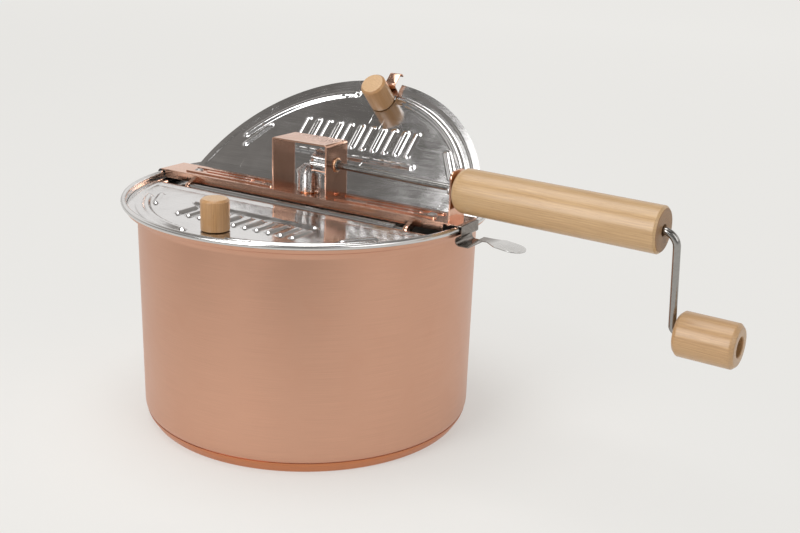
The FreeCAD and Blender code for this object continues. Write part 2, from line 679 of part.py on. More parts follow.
def make_latch_tab():
    """Moving end of the latch: it curls under the rolled rim and ends in a finger tab."""
    sheet_half = dim.strip_sheet / 2
    inner = LATCH_INNER
    outer = inner + dim.strip_sheet
    curl = dim.latch_curl
    curl_in = curl - sheet_half
    curl_out = curl + sheet_half
    middle = inner - dim.latch_curl_inset
    height = dim.rim_height - dim.latch_curl_drop
    top = height + curl
    turn = dim.latch_turn
    turn_out = turn + dim.strip_sheet
    leg_low = top + sheet_half + turn
    leg_middle = inner - turn
    tail = middle + dim.latch_foot
    pivot_top = LATCH_PIVOT_HEIGHT
    body = new_body("latch_tab")
    sketch = new_sketch(body, "XZ_Plane")
    draw(sketch, [
        (outer, pivot_top),
        (outer, leg_low, -turn_out),
        (leg_middle, top - sheet_half),
        (middle, top - sheet_half, curl_in),
        (middle - curl_in, height, curl_in),
        (middle, height - curl_in),
        (tail, height - curl_in),
        (tail, height - curl_out),
        (middle, height - curl_out, -curl_out),
        (middle - curl_out, height, -curl_out),
        (middle, top + sheet_half),
        (leg_middle, top + sheet_half, turn),
        (inner, leg_low),
        (inner, pivot_top, -sheet_half),
        (LATCH_PIVOT, pivot_top + sheet_half, -sheet_half),
    ])
    strip = dim.strip_half_width
    pad(body, sketch, strip * 2, centred=True)
    tab = new_sketch(body, "XZ_Plane")
    end = BEAD_OUTER + dim.latch_tab_reach
    end_height = dim.rim_height - dim.latch_tab_drop
    sheet = dim.strip_sheet
    low = height - curl_out
    rise_end = tail + dim.latch_rise_run
    neck_low = low + dim.latch_rise
    neck_end = rise_end + dim.latch_neck
    draw(tab, [
        (tail - sheet_half, low), (rise_end + sheet, neck_low), (neck_end, neck_low),
        (end, end_height - sheet_half), (end, end_height + sheet_half), (neck_end, neck_low + sheet),
        (rise_end, neck_low + sheet), (tail - sheet, low + sheet),
    ])
    pad(body, tab, strip * 2, centred=True)
    plan = new_sketch(body, "XY_Plane")
    start = middle - curl_out * 2
    neck = dim.latch_neck_half
    tab_half = dim.latch_tab_half
    outside = strip * 2
    side = [
        (start, strip), (tail, strip), (rise_end, neck), (neck_end, neck),
        (neck_end + dim.latch_neck, tab_half), (end - tab_half, tab_half, -tab_half), (end, 0),
        (end + tab_half, 0), (end + tab_half, outside), (start, outside),
    ]
    draw(plan, side)
    cut_through(body, plan)
    other = new_sketch(body, "XY_Plane")
    draw(other, mirrored_points(side))
    cut_through(body, other)


def make_rivet(name, x, bottom, top):
    """A rivet with a domed head on both sides of the sheets from bottom to top."""
    radius = dim.rivet_radius
    head = dim.rivet_head
    rise = dim.rivet_rise
    body = turned_piece(name, [
        (0, bottom - rise), (head * 0.6, bottom - rise), (head, bottom - rise * 0.4), (head, bottom),
        (radius, bottom), (radius, top), (head, top), (head, top + rise * 0.4),
        (head * 0.6, top + rise), (0, top + rise),
    ])
    body.Placement = placed(x)


def make_handle_plate():
    """Plate whose foot lies under the crossbar and whose upright carries the handle."""
    half = dim.plate_half_width
    corner = dim.plate_corner
    top = BAR_TOP + dim.plate_height
    body = new_body("handle_plate")
    upright = new_sketch(body, "YZ_Plane", lift=PLATE_INNER)
    draw(upright, [
        (-half, FOOT_BOTTOM), (half, FOOT_BOTTOM), (half, top - corner, corner), (half - corner, top),
        (corner - half, top, corner), (-half, top - corner),
    ])
    pad(body, upright, dim.plate_sheet)
    foot = new_sketch(body, "XY_Plane", lift=FOOT_BOTTOM)
    draw(foot, box_points(PLATE_INNER - dim.plate_foot, -half, PLATE_OUTER, half))
    pad(body, foot, dim.plate_sheet)
    window = new_sketch(body, "YZ_Plane", lift=PLATE_INNER)
    draw(window, box_points(-PLATE_WINDOW, STRIP_BOTTOM, PLATE_WINDOW, BAR_TOP))
    cut_depth(body, window, dim.plate_sheet, up=True)
    holes = new_sketch(body, "YZ_Plane", lift=PLATE_INNER)
    height = crank_at(PLATE_INNER + dim.plate_sheet / 2)
    circle(holes, 0, height, dim.rod_radius + dim.rod_fit + 0.02)
    circle(holes, dim.wood_screw_place, height, dim.wood_screw_radius + 0.1)
    circle(holes, -dim.wood_screw_place, height, dim.wood_screw_radius + 0.1)
    cut_depth(body, holes, dim.plate_sheet, up=True)
    rivet_hole = new_sketch(body, "XY_Plane", lift=FOOT_BOTTOM)
    circle(rivet_hole, RIVET_PLACE, 0, dim.rivet_radius)
    cut_depth(body, rivet_hole, dim.plate_sheet, up=True)


def make_gear_bracket():
    """Inverted U that stands on the crossbar over the gears, with tabs bent over underneath."""
    left = dim.bracket_left
    right = dim.bracket_right
    wall = dim.bracket_sheet
    bend = dim.bracket_bend
    top = BAR_TOP + dim.bracket_height
    body = new_body("gear_bracket")
    arch = new_sketch(body, "XZ_Plane")
    draw(arch, [
        (-left, BAR_TOP), (wall - left, BAR_TOP), (wall - left, top - wall), (right - wall, top - wall),
        (right - wall, BAR_TOP), (right, BAR_TOP), (right, top - bend, bend), (right - bend, top),
        (bend - left, top, bend), (-left, top - bend),
    ])
    pad(body, arch, dim.bracket_half_width * 2, centred=True)
    tabs = new_sketch(body, "XY_Plane", lift=BAR_TOP)
    tab = dim.tab_half_width
    draw(tabs, box_points(-left, -tab, wall - left, tab))
    draw(tabs, box_points(right - wall, -tab, right, tab))
    tab_depth = dim.bar_sheet + dim.face_gap + wall
    pad(body, tabs, tab_depth, down=True)
    feet = new_sketch(body, "XY_Plane", lift=BAR_TOP - tab_depth)
    draw(feet, box_points(-left - dim.tab_length, -tab, wall - left, tab))
    draw(feet, box_points(right - wall, -tab, right + dim.tab_length, tab))
    pad(body, feet, wall)
    hole = new_sketch(body, "YZ_Plane", lift=LEG_INNER)
    circle(hole, 0, crank_at(LEG_INNER + wall / 2), dim.bushing_radius + 0.05)
    cut_depth(body, hole, wall, up=True)


def make_bushings():
    """Flanged bushings: one upright in the crossbar, one in the bracket's leg on the crank axis."""
    bore = dim.rod_radius + dim.rod_fit
    sleeve = dim.bushing_radius
    flange = dim.bushing_flange
    lip = dim.bushing_lip
    low = BAR_BOTTOM - dim.bushing_foot
    turned_piece("shaft_bushing", [
        (bore, low), (sleeve, low), (sleeve, BAR_TOP), (flange, BAR_TOP), (flange, BAR_TOP + lip),
        (bore, BAR_TOP + lip),
    ])
    face = BUSHING_FACE
    end = BUSHING_END
    swage = end - dim.crank_bushing_out * 0.75
    swage_radius = (sleeve + flange) / 2
    body = turned_piece("crank_bushing", [
        (face - lip, bore), (end, bore), (end, sleeve), (swage, swage_radius), (swage, sleeve),
        (face, sleeve), (face, flange), (face - lip, flange),
    ], axis="H_Axis")
    body.Placement = AXIS_PLACE


def make_gear(name, back, phase):
    """A mitre gear on the Z axis with its apex at the origin and a fluted body down to the back."""
    pitch = dim.gear_pitch_radius
    rise = dim.gear_tooth_rise * 0.7071
    small = SHAFT_END / pitch
    bore = dim.rod_radius
    tip_radius = pitch + rise
    tip_height = rise - pitch
    body = turned_piece(name, [
        (bore, -back), (pitch, -back), (pitch, tip_height - rise * 2.4), (tip_radius, tip_height),
        (small * tip_radius, small * tip_height), (bore, small * tip_height),
    ])
    gap_root = pitch - dim.gear_tooth_root
    gap_far = pitch + dim.gear_tooth_root
    root_half = pitch * 0.095
    far_half = pitch * 0.295

    def gap_points(scale):
        return [
            (scale * gap_root, -(scale * root_half)), (scale * gap_far, -(scale * far_half)),
            (scale * gap_far, scale * far_half), (scale * gap_root, scale * root_half),
        ]

    large_end = new_sketch(body, "XY_Plane", lift=-(pitch * 1.25), spin=phase)
    draw(large_end, gap_points(as_size(1.25)))
    small_end = new_sketch(body, "XY_Plane", lift=-(small * pitch * 0.6), spin=phase)
    draw(small_end, gap_points(small * 0.6))
    doc.recompute()
    before = body.Shape.Volume
    cone_gap = body.newObject("PartDesign::SubtractiveLoft", "ToothGap")
    cone_gap.Profile = large_end
    cone_gap.Sections = [small_end]
    cone_gap.Ruled = True
    doc.recompute()
    flute = new_sketch(body, "XY_Plane", lift=-back, spin=phase)
    draw(flute, gap_points(as_size(1)))
    body_gap = cut_depth(body, flute, back - pitch, up=True)
    repeat_round(body, [cone_gap, body_gap], round(dim.gear_teeth.value))
    pin = new_sketch(body, "XZ_Plane")
    circle(pin, 0, -(pitch + back) / 2, dim.cross_pin_radius)
    cut_through(body, pin)
    if not body.Shape.Volume < before:
        raise ValueError("no tooth gaps were cut in " + name)
    return body


DRIVEN_BACK = dim.crank_rise - dim.bushing_lip - dim.face_gap
DRIVE_BACK = BUSHING_FACE - dim.bushing_lip - dim.face_gap


def make_gears():
    """Two equal mitre gears. A tooth of the upright one stands in a gap of the crank's at rest."""
    half_tooth = 180 / dim.gear_teeth.value
    driven = make_gear("driven_gear", DRIVEN_BACK, half_tooth)
    driven.Placement = placed(0, 0, CRANK_HEIGHT)
    drive = make_gear("drive_gear", DRIVE_BACK, 180 + dim.crank_rest.value)
    drive.Placement = CRANK_PLACE * placed(rotation=about(Y_AXIS, -90))


def make_cross_pin(name, place):
    """Pin across a gear and its shaft, flush with the gear's flutes."""
    body = new_body(name)
    sketch = new_sketch(body, "XZ_Plane")
    circle(sketch, 0, 0, dim.cross_pin_radius)
    pad(body, sketch, (dim.gear_pitch_radius - dim.gear_tooth_root) * 2, centred=True)
    body.Placement = place


def make_crank_shaft():
    """One rod: along the handle, down the arm and out again as the pin of the crank knob."""
    arm = ARM_PLACE
    length = dim.arm_length
    bend = dim.arm_bend
    small = dim.pin_bend
    tip = GRIP_START + dim.grip_length - dim.grip_recess + dim.pin_end
    body = new_body("crank_shaft")
    path = new_sketch(body, "XZ_Plane")
    draw(path, [
        (SHAFT_END, 0), (arm - bend, 0, -bend), (arm, -bend), (arm, small - length, small),
        (arm + small, -length), (tip, -length),
    ], closed=False)
    section = new_sketch(body, "YZ_Plane", lift=SHAFT_END)
    circle(section, 0, 0, dim.rod_radius)
    pipe = body.newObject("PartDesign::AdditivePipe", "Rod")
    pipe.Profile = section
    pipe.Spine = (path, [])
    doc.recompute()
    pin = new_sketch(body, "XZ_Plane")
    circle(pin, (dim.gear_pitch_radius + DRIVE_BACK) / 2, 0, dim.cross_pin_radius)
    cut_through(body, pin)
    body.Placement = CRANK_PLACE


def make_stirrer():
    """Upright shaft with a bent wire across its foot that sweeps the pot floor."""
    wire_height = POT_FLOOR + dim.stirrer_lift + dim.stirrer_wire
    foot = POT_FLOOR + dim.shaft_foot_gap
    body = new_body("stirrer_shaft")
    sketch = new_sketch(body, "XY_Plane", lift=foot)
    circle(sketch, 0, 0, dim.rod_radius)
    pad(body, sketch, CRANK_HEIGHT - SHAFT_END - foot)
    pin = new_sketch(body, "XZ_Plane")
    circle(pin, 0, CRANK_HEIGHT - (dim.gear_pitch_radius + DRIVEN_BACK) / 2, dim.cross_pin_radius)
    cut_through(body, pin)
    eye = new_sketch(body, "YZ_Plane")
    circle(eye, 0, wire_height, dim.stirrer_wire)
    cut_through(body, eye)
    sweep_sin = 0.5
    sweep_cos = math.sqrt(1 - sweep_sin ** 2)
    curve_x = dim.stirrer_straight + dim.stirrer_curve * sweep_sin
    curve_y = dim.stirrer_curve * (1 - sweep_cos)
    wire = new_body("stirrer_wire")
    path = new_sketch(wire, "XY_Plane", lift=wire_height)
    draw(path, [
        (0, 0), (dim.stirrer_straight, 0, dim.stirrer_curve), (curve_x, curve_y),
        (curve_x + dim.stirrer_blade * sweep_cos, curve_y + dim.stirrer_blade * sweep_sin),
    ], closed=False)
    section = new_sketch(wire, "YZ_Plane")
    circle(section, 0, wire_height, dim.stirrer_wire)
    pipe = wire.newObject("PartDesign::AdditivePipe", "Arm")
    pipe.Profile = section
    pipe.Spine = (path, [])
    doc.recompute()
    repeat_round(wire, [pipe], 2)


def make_ring(name, low, outer, place, axis="V_Axis"):
    """Push-on ring that holds a shaft endways."""
    inner = dim.rod_radius
    high = low + dim.ring_sheet
    if axis == "V_Axis":
        points = [(inner, low), (outer, low), (outer, high), (inner, high)]
    else:
        points = [(low, inner), (high, inner), (high, outer), (low, outer)]
    body = turned_piece(name, points, axis)
    body.Placement = place


def make_handle():
    """Turned wooden handle with a hole along it for the crank rod."""
    start = HANDLE_START
    end = HANDLE_END
    radius = dim.handle_radius
    nose = dim.handle_nose
    edge = dim.handle_edge
    body = turned_piece("handle", [
        (start, dim.handle_bore), (start, radius - nose, -nose), (start + nose, radius),
        (end - edge, radius), (end, radius - edge), (end, dim.handle_bore),
    ], axis="H_Axis")
    holes = new_sketch(body, "YZ_Plane", lift=start)
    circle(holes, dim.wood_screw_place, 0, dim.wood_screw_radius)
    circle(holes, -dim.wood_screw_place, 0, dim.wood_screw_radius)
    cut_depth(body, holes, dim.wood_screw_length, up=True)
    body.Placement = AXIS_PLACE


def make_handle_screws():
    """Two wood screws through the handle plate, one each side of the crank rod."""
    body = new_body("handle_screws")
    place = dim.wood_screw_place
    face = PLATE_INNER - 0.25
    length = HANDLE_START + dim.wood_screw_length - 1 - face
    shanks = new_sketch(body, "YZ_Plane", lift=face)
    heads = new_sketch(body, "YZ_Plane", lift=face)
    for side in (place, -place):
        circle(shanks, side, 0, dim.wood_screw_radius)
        circle(heads, side, 0, dim.wood_screw_radius + 1.2)
    body.AllowCompound = True
    pad(body, shanks, length)
    pad(body, heads, 1.5, down=True)
    body.Placement = AXIS_PLACE


def make_crank_knob():
    """Wooden grip that turns on the crank's pin, and the push-on cap in its recess that holds it."""
    length = dim.grip_length
    radius = dim.grip_radius
    edge = dim.grip_edge
    recess = length - dim.grip_recess
    place = CRANK_PLACE * placed(GRIP_START, 0, -dim.arm_length)
    body = turned_piece("crank_knob", [
        (0, dim.grip_bore), (0, radius - edge, -edge), (edge, radius), (length - edge, radius, -edge),
        (length, radius - edge), (length, dim.grip_counterbore), (recess, dim.grip_counterbore),
        (recess, dim.grip_bore),
    ], axis="H_Axis")
    body.Placement = place
    rod = dim.rod_radius
    rod_end = recess + dim.pin_end
    cap_radius = rod * 2
    cap = turned_piece("knob_cap", [
        (recess + dim.face_gap, rod), (rod_end, rod), (rod_end, 0), (rod_end + 1.2, 0),
        (rod_end + 1.0, cap_radius * 0.4), (rod_end - 0.6, cap_radius * 0.85),
        (recess + 0.8, cap_radius), (recess + dim.face_gap, cap_radius),
    ], axis="H_Axis")
    cap.Placement = place


def make_lid(name, place, knob_side, knob_out, notched):
    """Half-round pressed lid whose straight edge is rolled round the hinge pin."""
    radius = LID_RADIUS
    offset = dim.hinge_offset
    long = dim.tube_long
    short = dim.tube_short
    near = dim.tube_radius * 0.65
    cut_back = dim.lug_radius + 1
    corner = chord(radius, offset + cut_back)
    body = new_body(name)
    plan = new_sketch(body, "XY_Plane", lift=LID_UNDERSIDE)
    points = [(-short, near), (long, near), (long, cut_back), (corner, cut_back, radius)]
    if notched:
        room = dim.clip_width / 2 + dim.clip_margin
        low = dim.clip_side - room
        high = dim.clip_side + room
        floor = LID_REACH - dim.notch_depth
        points += [
            (high, chord(radius, high) - offset), (high, floor), (low, floor),
            (low, chord(radius, low) - offset, radius),
        ]
    points += [(-corner, cut_back), (-short, cut_back)]
    draw(plan, points)
    pad(body, plan, dim.lid_sheet)
    tube = new_sketch(body, "YZ_Plane", lift=-short)
    circle(tube, 0, 0, dim.tube_radius)
    circle(tube, 0, 0, dim.pin_radius + dim.pin_fit)
    pad(body, tube, long + short)
    add_lid_ribs(body)
    holes = new_sketch(body, "XY_Plane")
    circle(holes, knob_side, knob_out, dim.screw_radius)
    cut_through(body, holes)
    body.Placement = place


def add_lid_ribs(body):
    """Pressed stiffening: a long curved rib and a short bead on each side, and a row of short beads."""
    middle = dim.lid_face - dim.lid_bead_sink
    section = dim.lid_rib_round
    rib_radius = LID_RADIUS - dim.lid_rib_inset
    sketch = new_sketch(body, "XZ_Plane")
    turn = about(Y_AXIS, dim.lid_rib_turn)
    sketch.AttachmentOffset = FreeCAD.Placement(V(0, 0, dim.hinge_offset.value), turn)
    sketch.setExpression("AttachmentOffset.Base.z", dim.hinge_offset.text)
    draw(sketch, [
        (rib_radius - section, middle), (rib_radius + section, middle, section),
        (rib_radius, middle + section, section),
    ])
    rib = revolve(body, sketch, angle=dim.lid_rib_span, centred=True)
    repeat_mirrored(body, [rib])
    slant = dim.side_bead_slant
    side_bead = add_bead(body, dim.side_bead_side, dim.side_bead_out, slant, dim.side_bead_length)
    repeat_mirrored(body, [side_bead])
    half_row = 5
    across = 90
    first = add_bead(body, -half_row * dim.flute_pitch, dim.flute_place, across, dim.flute_length)
    row = body.newObject("PartDesign::LinearPattern", "LinearPattern")
    row.Originals = [first]
    row.Direction = (datum(body, "X_Axis"), [""])
    bind(row, "Length", dim.flute_pitch * (2 * half_row))
    row.Occurrences = 2 * half_row + 1
    body.Tip = row
    long_out = dim.flute_place - dim.flute_length / 2 - dim.long_bead_gap
    add_bead(body, dim.long_bead_side, long_out, 0, dim.long_bead_length)


def add_bead(body, x, y, angle, length):
    """A half-round pressed bead with round ends on the lid's face."""
    radius = dim.lid_bead_round
    half = as_size(length) / 2
    sketch = new_sketch(body, "XY_Plane", dim.lid_face - dim.lid_bead_sink, angle, (x, y))
    draw(sketch, [
        (-half, 0), (half, 0, radius), (half - radius, radius), (radius - half, radius, radius),
    ])
    return revolve(body, sketch, "H_Axis", 180)


def make_lid_knob(side, at_knob, under):
    """Wooden lid knob and the screw that holds it from the underside at the height given."""
    base = dim.lid_face
    top = base + dim.knob_height
    shank = dim.screw_radius
    head = dim.screw_head
    head_edge = 1
    head_bottom = under - dim.screw_head_rise
    bore_end = base + dim.knob_bore
    knob = turned_piece(side + "_lid_knob", [
        (shank, base), (dim.knob_radius, base), (dim.knob_radius, top - dim.knob_edge),
        (dim.knob_radius - dim.knob_edge, top), (0, top), (0, bore_end), (shank, bore_end),
    ])
    knob.Placement = at_knob
    screw = turned_piece(side + "_knob_screw", [
        (0, head_bottom), (head - head_edge, head_bottom), (head, head_bottom + head_edge), (head, under),
        (shank, under), (shank, bore_end - 0.5), (0, bore_end - 0.5),
    ])
    screw.Placement = at_knob


def make_hinge_pin(name, place):
    body = new_body(name)
    sketch = new_sketch(body, "YZ_Plane")
    circle(sketch, 0, 0, dim.pin_radius)
    pad(body, sketch, (LUG_END + 0.8) * 2, centred=True)
    body.Placement = place


def make_lid_clip():
    """Spring clip held under the rear lid by the knob's screw, up through the notch and over the rim."""
    sheet = dim.clip_sheet
    under = LID_UNDERSIDE
    bend = dim.clip_bend
    bend_out = bend + sheet
    knob_side = dim.rear_knob_side
    knob_out = REAR_KNOB_OUT
    foot = dim.screw_head + dim.clip_foot
    start = knob_out + dim.screw_head
    rise = LID_REACH - dim.notch_depth + 0.5
    rise_in = rise + sheet
    run = RIM_OVER_HINGE + dim.clip_gap
    run_out = run + sheet
    leg = BEAD_OUTER - dim.hinge_offset + dim.clip_gap
    leg_out = leg + sheet
    leg_end = RIM_OVER_HINGE - dim.bead_round - 1.2
    body = new_body("lid_clip")
    sketch = new_sketch(body, "YZ_Plane", lift=dim.clip_side)
    draw(sketch, [
        (start, under - sheet), (rise_in, under - sheet), (rise_in, run - bend, -bend), (rise_in + bend, run),
        (leg - bend, run, -bend), (leg, run - bend), (leg, leg_end), (leg_out, leg_end),
        (leg_out, run - bend, bend_out), (leg - bend, run_out), (rise_in + bend, run_out, bend_out),
        (rise, run - bend), (rise, under), (start, under),
    ])
    pad(body, sketch, dim.clip_width, centred=True)
    base = new_sketch(body, "XY_Plane", lift=under - sheet)
    side = dim.clip_side + dim.clip_width / 2
    draw(base, box_points(knob_side - foot, knob_out - foot, side, knob_out + foot))
    circle(base, knob_side, knob_out, dim.screw_radius)
    pad(body, base, sheet)
    body.Placement = REAR_PLACE


def make_small_pieces():
    """Rivets, cross pins and the rings that hold the shafts endways."""
    make_rivet("hook_rivet", -RIVET_PLACE, STRIP_BOTTOM, BAR_TOP)
    make_rivet("latch_rivet", RIVET_PLACE, FOOT_BOTTOM, BAR_TOP)
    along_driven = CRANK_HEIGHT - (dim.gear_pitch_radius + DRIVEN_BACK) / 2
    make_cross_pin("driven_gear_pin", placed(0, 0, along_driven))
    along_drive = (dim.gear_pitch_radius + DRIVE_BACK) / 2
    make_cross_pin("drive_gear_pin", CRANK_PLACE * placed(along_drive))
    ring_low = BAR_BOTTOM - dim.bushing_foot - dim.face_gap - dim.ring_sheet
    make_ring("stirrer_ring", ring_low, dim.stirrer_ring_radius, placed())
    make_ring("crank_ring", BUSHING_END + dim.face_gap, dim.crank_ring_radius, AXIS_PLACE, "H_Axis")


def make_all():
    make_pot_shell()
    make_base_disc()
    make_crossbar()
    make_rim_hook()
    make_latch_spring()
    make_latch_tab()
    make_handle_plate()
    make_gear_bracket()
    make_bushings()
    make_gears()
    make_crank_shaft()
    make_stirrer()
    make_handle()
    make_handle_screws()
    make_crank_knob()
    make_small_pieces()
    front = (dim.front_knob_side, FRONT_KNOB_OUT)
    make_lid("front_lid", FRONT_PLACE, *front, notched=False)
    make_lid_knob("front", FRONT_PLACE * placed(*front), LID_UNDERSIDE)
    make_hinge_pin("front_hinge_pin", FRONT_PLACE)
    rear = (dim.rear_knob_side, REAR_KNOB_OUT)
    make_lid("rear_lid", REAR_PLACE, *rear, notched=True)
    make_lid_knob("rear", REAR_PLACE * placed(*rear), LID_UNDERSIDE - dim.clip_sheet)
    make_hinge_pin("rear_hinge_pin", REAR_HINGE)
    make_lid_clip()


def check_and_write():
    """Make sure that every object and shape is sound, then write one file for each piece."""
    doc.recompute()
    for item in doc.Objects:
        if "Invalid" in item.State or "Error" in item.State:
            raise ValueError("%s of %s is not sound" % (item.Name, item.getParentGeoFeatureGroup()))
    os.makedirs("parts", exist_ok=True)
    for name, body in NODES.items():
        shape = body.Shape
        if shape.isNull() or not shape.isValid():
            raise ValueError("the shape of %s is not sound" % name)
        shape.exportStep(os.path.join("parts", name + ".step"))


make_all()
check_and_write()
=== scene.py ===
import json
import math

import bmesh
import bpy
from mathutils import Matrix, Vector, noise


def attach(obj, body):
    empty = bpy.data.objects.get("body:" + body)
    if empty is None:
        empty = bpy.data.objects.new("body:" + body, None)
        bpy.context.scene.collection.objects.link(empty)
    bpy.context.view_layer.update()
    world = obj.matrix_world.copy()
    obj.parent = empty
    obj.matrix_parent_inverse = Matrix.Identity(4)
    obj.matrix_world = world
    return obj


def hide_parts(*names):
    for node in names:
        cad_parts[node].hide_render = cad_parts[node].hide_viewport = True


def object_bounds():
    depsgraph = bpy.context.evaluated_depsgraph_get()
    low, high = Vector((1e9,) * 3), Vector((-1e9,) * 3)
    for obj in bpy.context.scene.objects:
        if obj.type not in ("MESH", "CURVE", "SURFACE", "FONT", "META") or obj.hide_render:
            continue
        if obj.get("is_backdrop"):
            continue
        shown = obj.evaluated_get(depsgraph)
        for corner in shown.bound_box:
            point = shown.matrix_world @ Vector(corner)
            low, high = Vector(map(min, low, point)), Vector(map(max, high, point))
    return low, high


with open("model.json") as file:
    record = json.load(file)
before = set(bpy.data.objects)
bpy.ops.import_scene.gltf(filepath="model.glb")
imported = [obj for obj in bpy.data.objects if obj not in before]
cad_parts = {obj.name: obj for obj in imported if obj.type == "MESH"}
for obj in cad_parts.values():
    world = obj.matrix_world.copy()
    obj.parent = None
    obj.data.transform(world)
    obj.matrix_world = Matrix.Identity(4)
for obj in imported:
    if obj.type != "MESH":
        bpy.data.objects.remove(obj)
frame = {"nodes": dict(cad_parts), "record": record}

cad_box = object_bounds()

# Sizes in millimetres and angles in degrees, the same as in the CAD source
# Pot: outer radius at the top and at the foot, sheet, height of its underside, round at the foot
POT_TOP = 116.75
POT_FOOT = 115.4
WALL = 1.0
FLOOR = 2.0
CORNER = 11.5
# Ledge under the lids: height of its upper face, radius where it begins, height where the wall flares
LEDGE = 151.9
LEDGE_INNER = 118.2
FLARE = 146.0
# Rolled rim: place of its middle and radius of its section
BEAD_R = 125.6
BEAD_Z = 155.9
BEAD_ROUND = 1.98
# Base disc: radius at the foot, radius and height of its lip
DISC_FOOT = 110.5
DISC_LIP = 114.4
DISC_LIP_Z = 8.0
# Lids: radius, place of the hinge line, upper face and thickness of the sheet, how far the rear one is open
LID_R = 123.2
HINGE_Y = 19.0
HINGE_Z = 151.6
LID_FACE = 1.2
LID_SHEET = 0.6
REAR_OPEN = 43.7
# Rolled hinge edge: outer radius, bore and its reach to either side
TUBE_R = 2.7
TUBE_BORE = 1.5
TUBE_SHORT = 83.5
TUBE_LONG = 90.5
# Notch in the rear lid's edge
NOTCH_X = 9.6
NOTCH_HALF = 5.4
NOTCH_DEPTH = 8.0
# Crank: height of its axis over the pot's middle, its fall for each millimetre outwards, angle at rest
CRANK_Z = 181.8
CRANK_FALL = 0.021
CRANK_REST = 9.9
# Handle, its ends measured along the crank's axis
HANDLE_START = 118.5
HANDLE_END = 256.9
HANDLE_R = 14.6
HANDLE_BORE = 3.6
# Crank knob
GRIP_START = 269.2
GRIP_LENGTH = 37.8
GRIP_R = 14.1
GRIP_RECESS = 7.0
# Crank rod, with the bend into its arm and the bend into its pin
ARM_PLACE = 265.2
ARM_LENGTH = 65.0
ARM_BEND = 9.0
PIN_BEND = 3.8
ROD_R = 2.38
# Lid knobs, each with its place on its lid
FRONT_KNOB = (1.9, 77.1)
REAR_KNOB = (6.1, 86.7)
KNOB_R = 9.3
KNOB_HEIGHT = 20.4


def turn(degrees, axis):
    return Matrix.Rotation(math.radians(degrees), 4, axis)


def shift(x=0, y=0, z=0):
    return Matrix.Translation(Vector((x, y, z)) / 1000)


Z_TO_X = turn(90, "Y")
DROOP = math.degrees(math.atan(CRANK_FALL))
AXIS = shift(0, 0, CRANK_Z) @ turn(DROOP, "Y")
CRANK = AXIS @ turn(CRANK_REST, "X")
REAR = shift(0, HINGE_Y, HINGE_Z) @ turn(REAR_OPEN, "X")
FRONT = turn(180, "Z") @ shift(0, HINGE_Y, HINGE_Z)
HANDLE_PLACE = AXIS @ shift(HANDLE_START) @ Z_TO_X
GRIP_PLACE = CRANK @ shift(GRIP_START, 0, -ARM_LENGTH) @ Z_TO_X
# The two lid knobs show different sides of their grain
FRONT_KNOB_PLACE = FRONT @ shift(*FRONT_KNOB, LID_FACE) @ turn(25, "Z")
REAR_KNOB_PLACE = REAR @ shift(*REAR_KNOB, LID_FACE) @ turn(70, "Z")


# Materials

class Nodes:
    """A node tree with short calls to add and join nodes."""

    def __init__(self, tree):
        self.tree = tree

    def add(self, kind, inputs=(), **settings):
        node = self.tree.nodes.new(kind)
        for key, value in settings.items():
            setattr(node, key, value)
        for key, value in dict(inputs).items():
            if isinstance(value, bpy.types.NodeSocket):
                self.tree.links.new(value, node.inputs[key])
            else:
                node.inputs[key].default_value = value
        return node

    def math(self, operation, a, b=0.0):
        return self.add("ShaderNodeMath", {0: a, 1: b}, operation=operation).outputs[0]

    def noise(self, vector, scale, detail, roughness=0.5, distortion=0.0):
        inputs = {"Vector": vector, "Scale": scale, "Detail": detail, "Roughness": roughness,
                  "Distortion": distortion}
        return self.add("ShaderNodeTexNoise", inputs).outputs["Fac"]

    def stretch(self, vector, x, y, z):
        node = self.add("ShaderNodeVectorMath", {0: vector, 1: (x, y, z)}, operation="MULTIPLY")
        return node.outputs[0]

    def axes(self, vector):
        """The three parts of a vector."""
        return self.add("ShaderNodeSeparateXYZ", {0: vector}).outputs

    def range(self, value, low, high, new_low, new_high):
        inputs = {"Value": value, "From Min": low, "From Max": high, "To Min": new_low, "To Max": new_high}
        return self.add("ShaderNodeMapRange", inputs).outputs[0]

    def blend(self, factor, a, b):
        node = self.add("ShaderNodeMix", data_type="RGBA")
        for index, value in ((0, factor), (6, a), (7, b)):
            if isinstance(value, bpy.types.NodeSocket):
                self.tree.links.new(value, node.inputs[index])
            elif index == 0:
                node.inputs[index].default_value = value
            else:
                node.inputs[index].default_value = (*value, 1.0)
        return node.outputs[2]

    def bump(self, height, strength, distance):
        inputs = {"Height": height, "Strength": strength, "Distance": distance}
        return self.add("ShaderNodeBump", inputs).outputs[0]

    def object_space(self, matrix=None):
        """Object coordinates, or those of a piece that stands at the matrix."""
        place = self.add("ShaderNodeTexCoord").outputs["Object"]
        if matrix is None:
            return place
        back = matrix.inverted()
        inputs = {"Vector": place, "Location": back.to_translation(), "Rotation": back.to_euler()}
        return self.add("ShaderNodeMapping", inputs).outputs[0]

    def around(self, vector):
        """Coordinates round the Z axis: the angle in radians, nothing, and the height."""
        parts = self.axes(vector)
        angle = self.math("ARCTAN2", parts[1], parts[0])
        return self.add("ShaderNodeCombineXYZ", {0: angle, 1: 0.0, 2: parts[2]}).outputs[0]


class MaterialNodes(Nodes):
    """The node tree of a new material, with its shader and output."""

    def __init__(self, name):
        self.material = bpy.data.materials.new(name)
        self.material.use_nodes = True
        super().__init__(self.material.node_tree)
        self.shader = self.tree.nodes["Principled BSDF"]
        self.output = self.tree.nodes["Material Output"]

    def set(self, **values):
        """Sets the shader's inputs, with base_color for Base Color and so on, and gives the material."""
        for key, value in values.items():
            socket = self.shader.inputs[key.replace("_", " ").title().replace("Ior", "IOR")]
            if isinstance(value, bpy.types.NodeSocket):
                self.tree.links.new(value, socket)
            elif isinstance(value, tuple) and len(value) == 3:
                socket.default_value = (*value, 1.0)
            else:
                socket.default_value = value
        return self.material


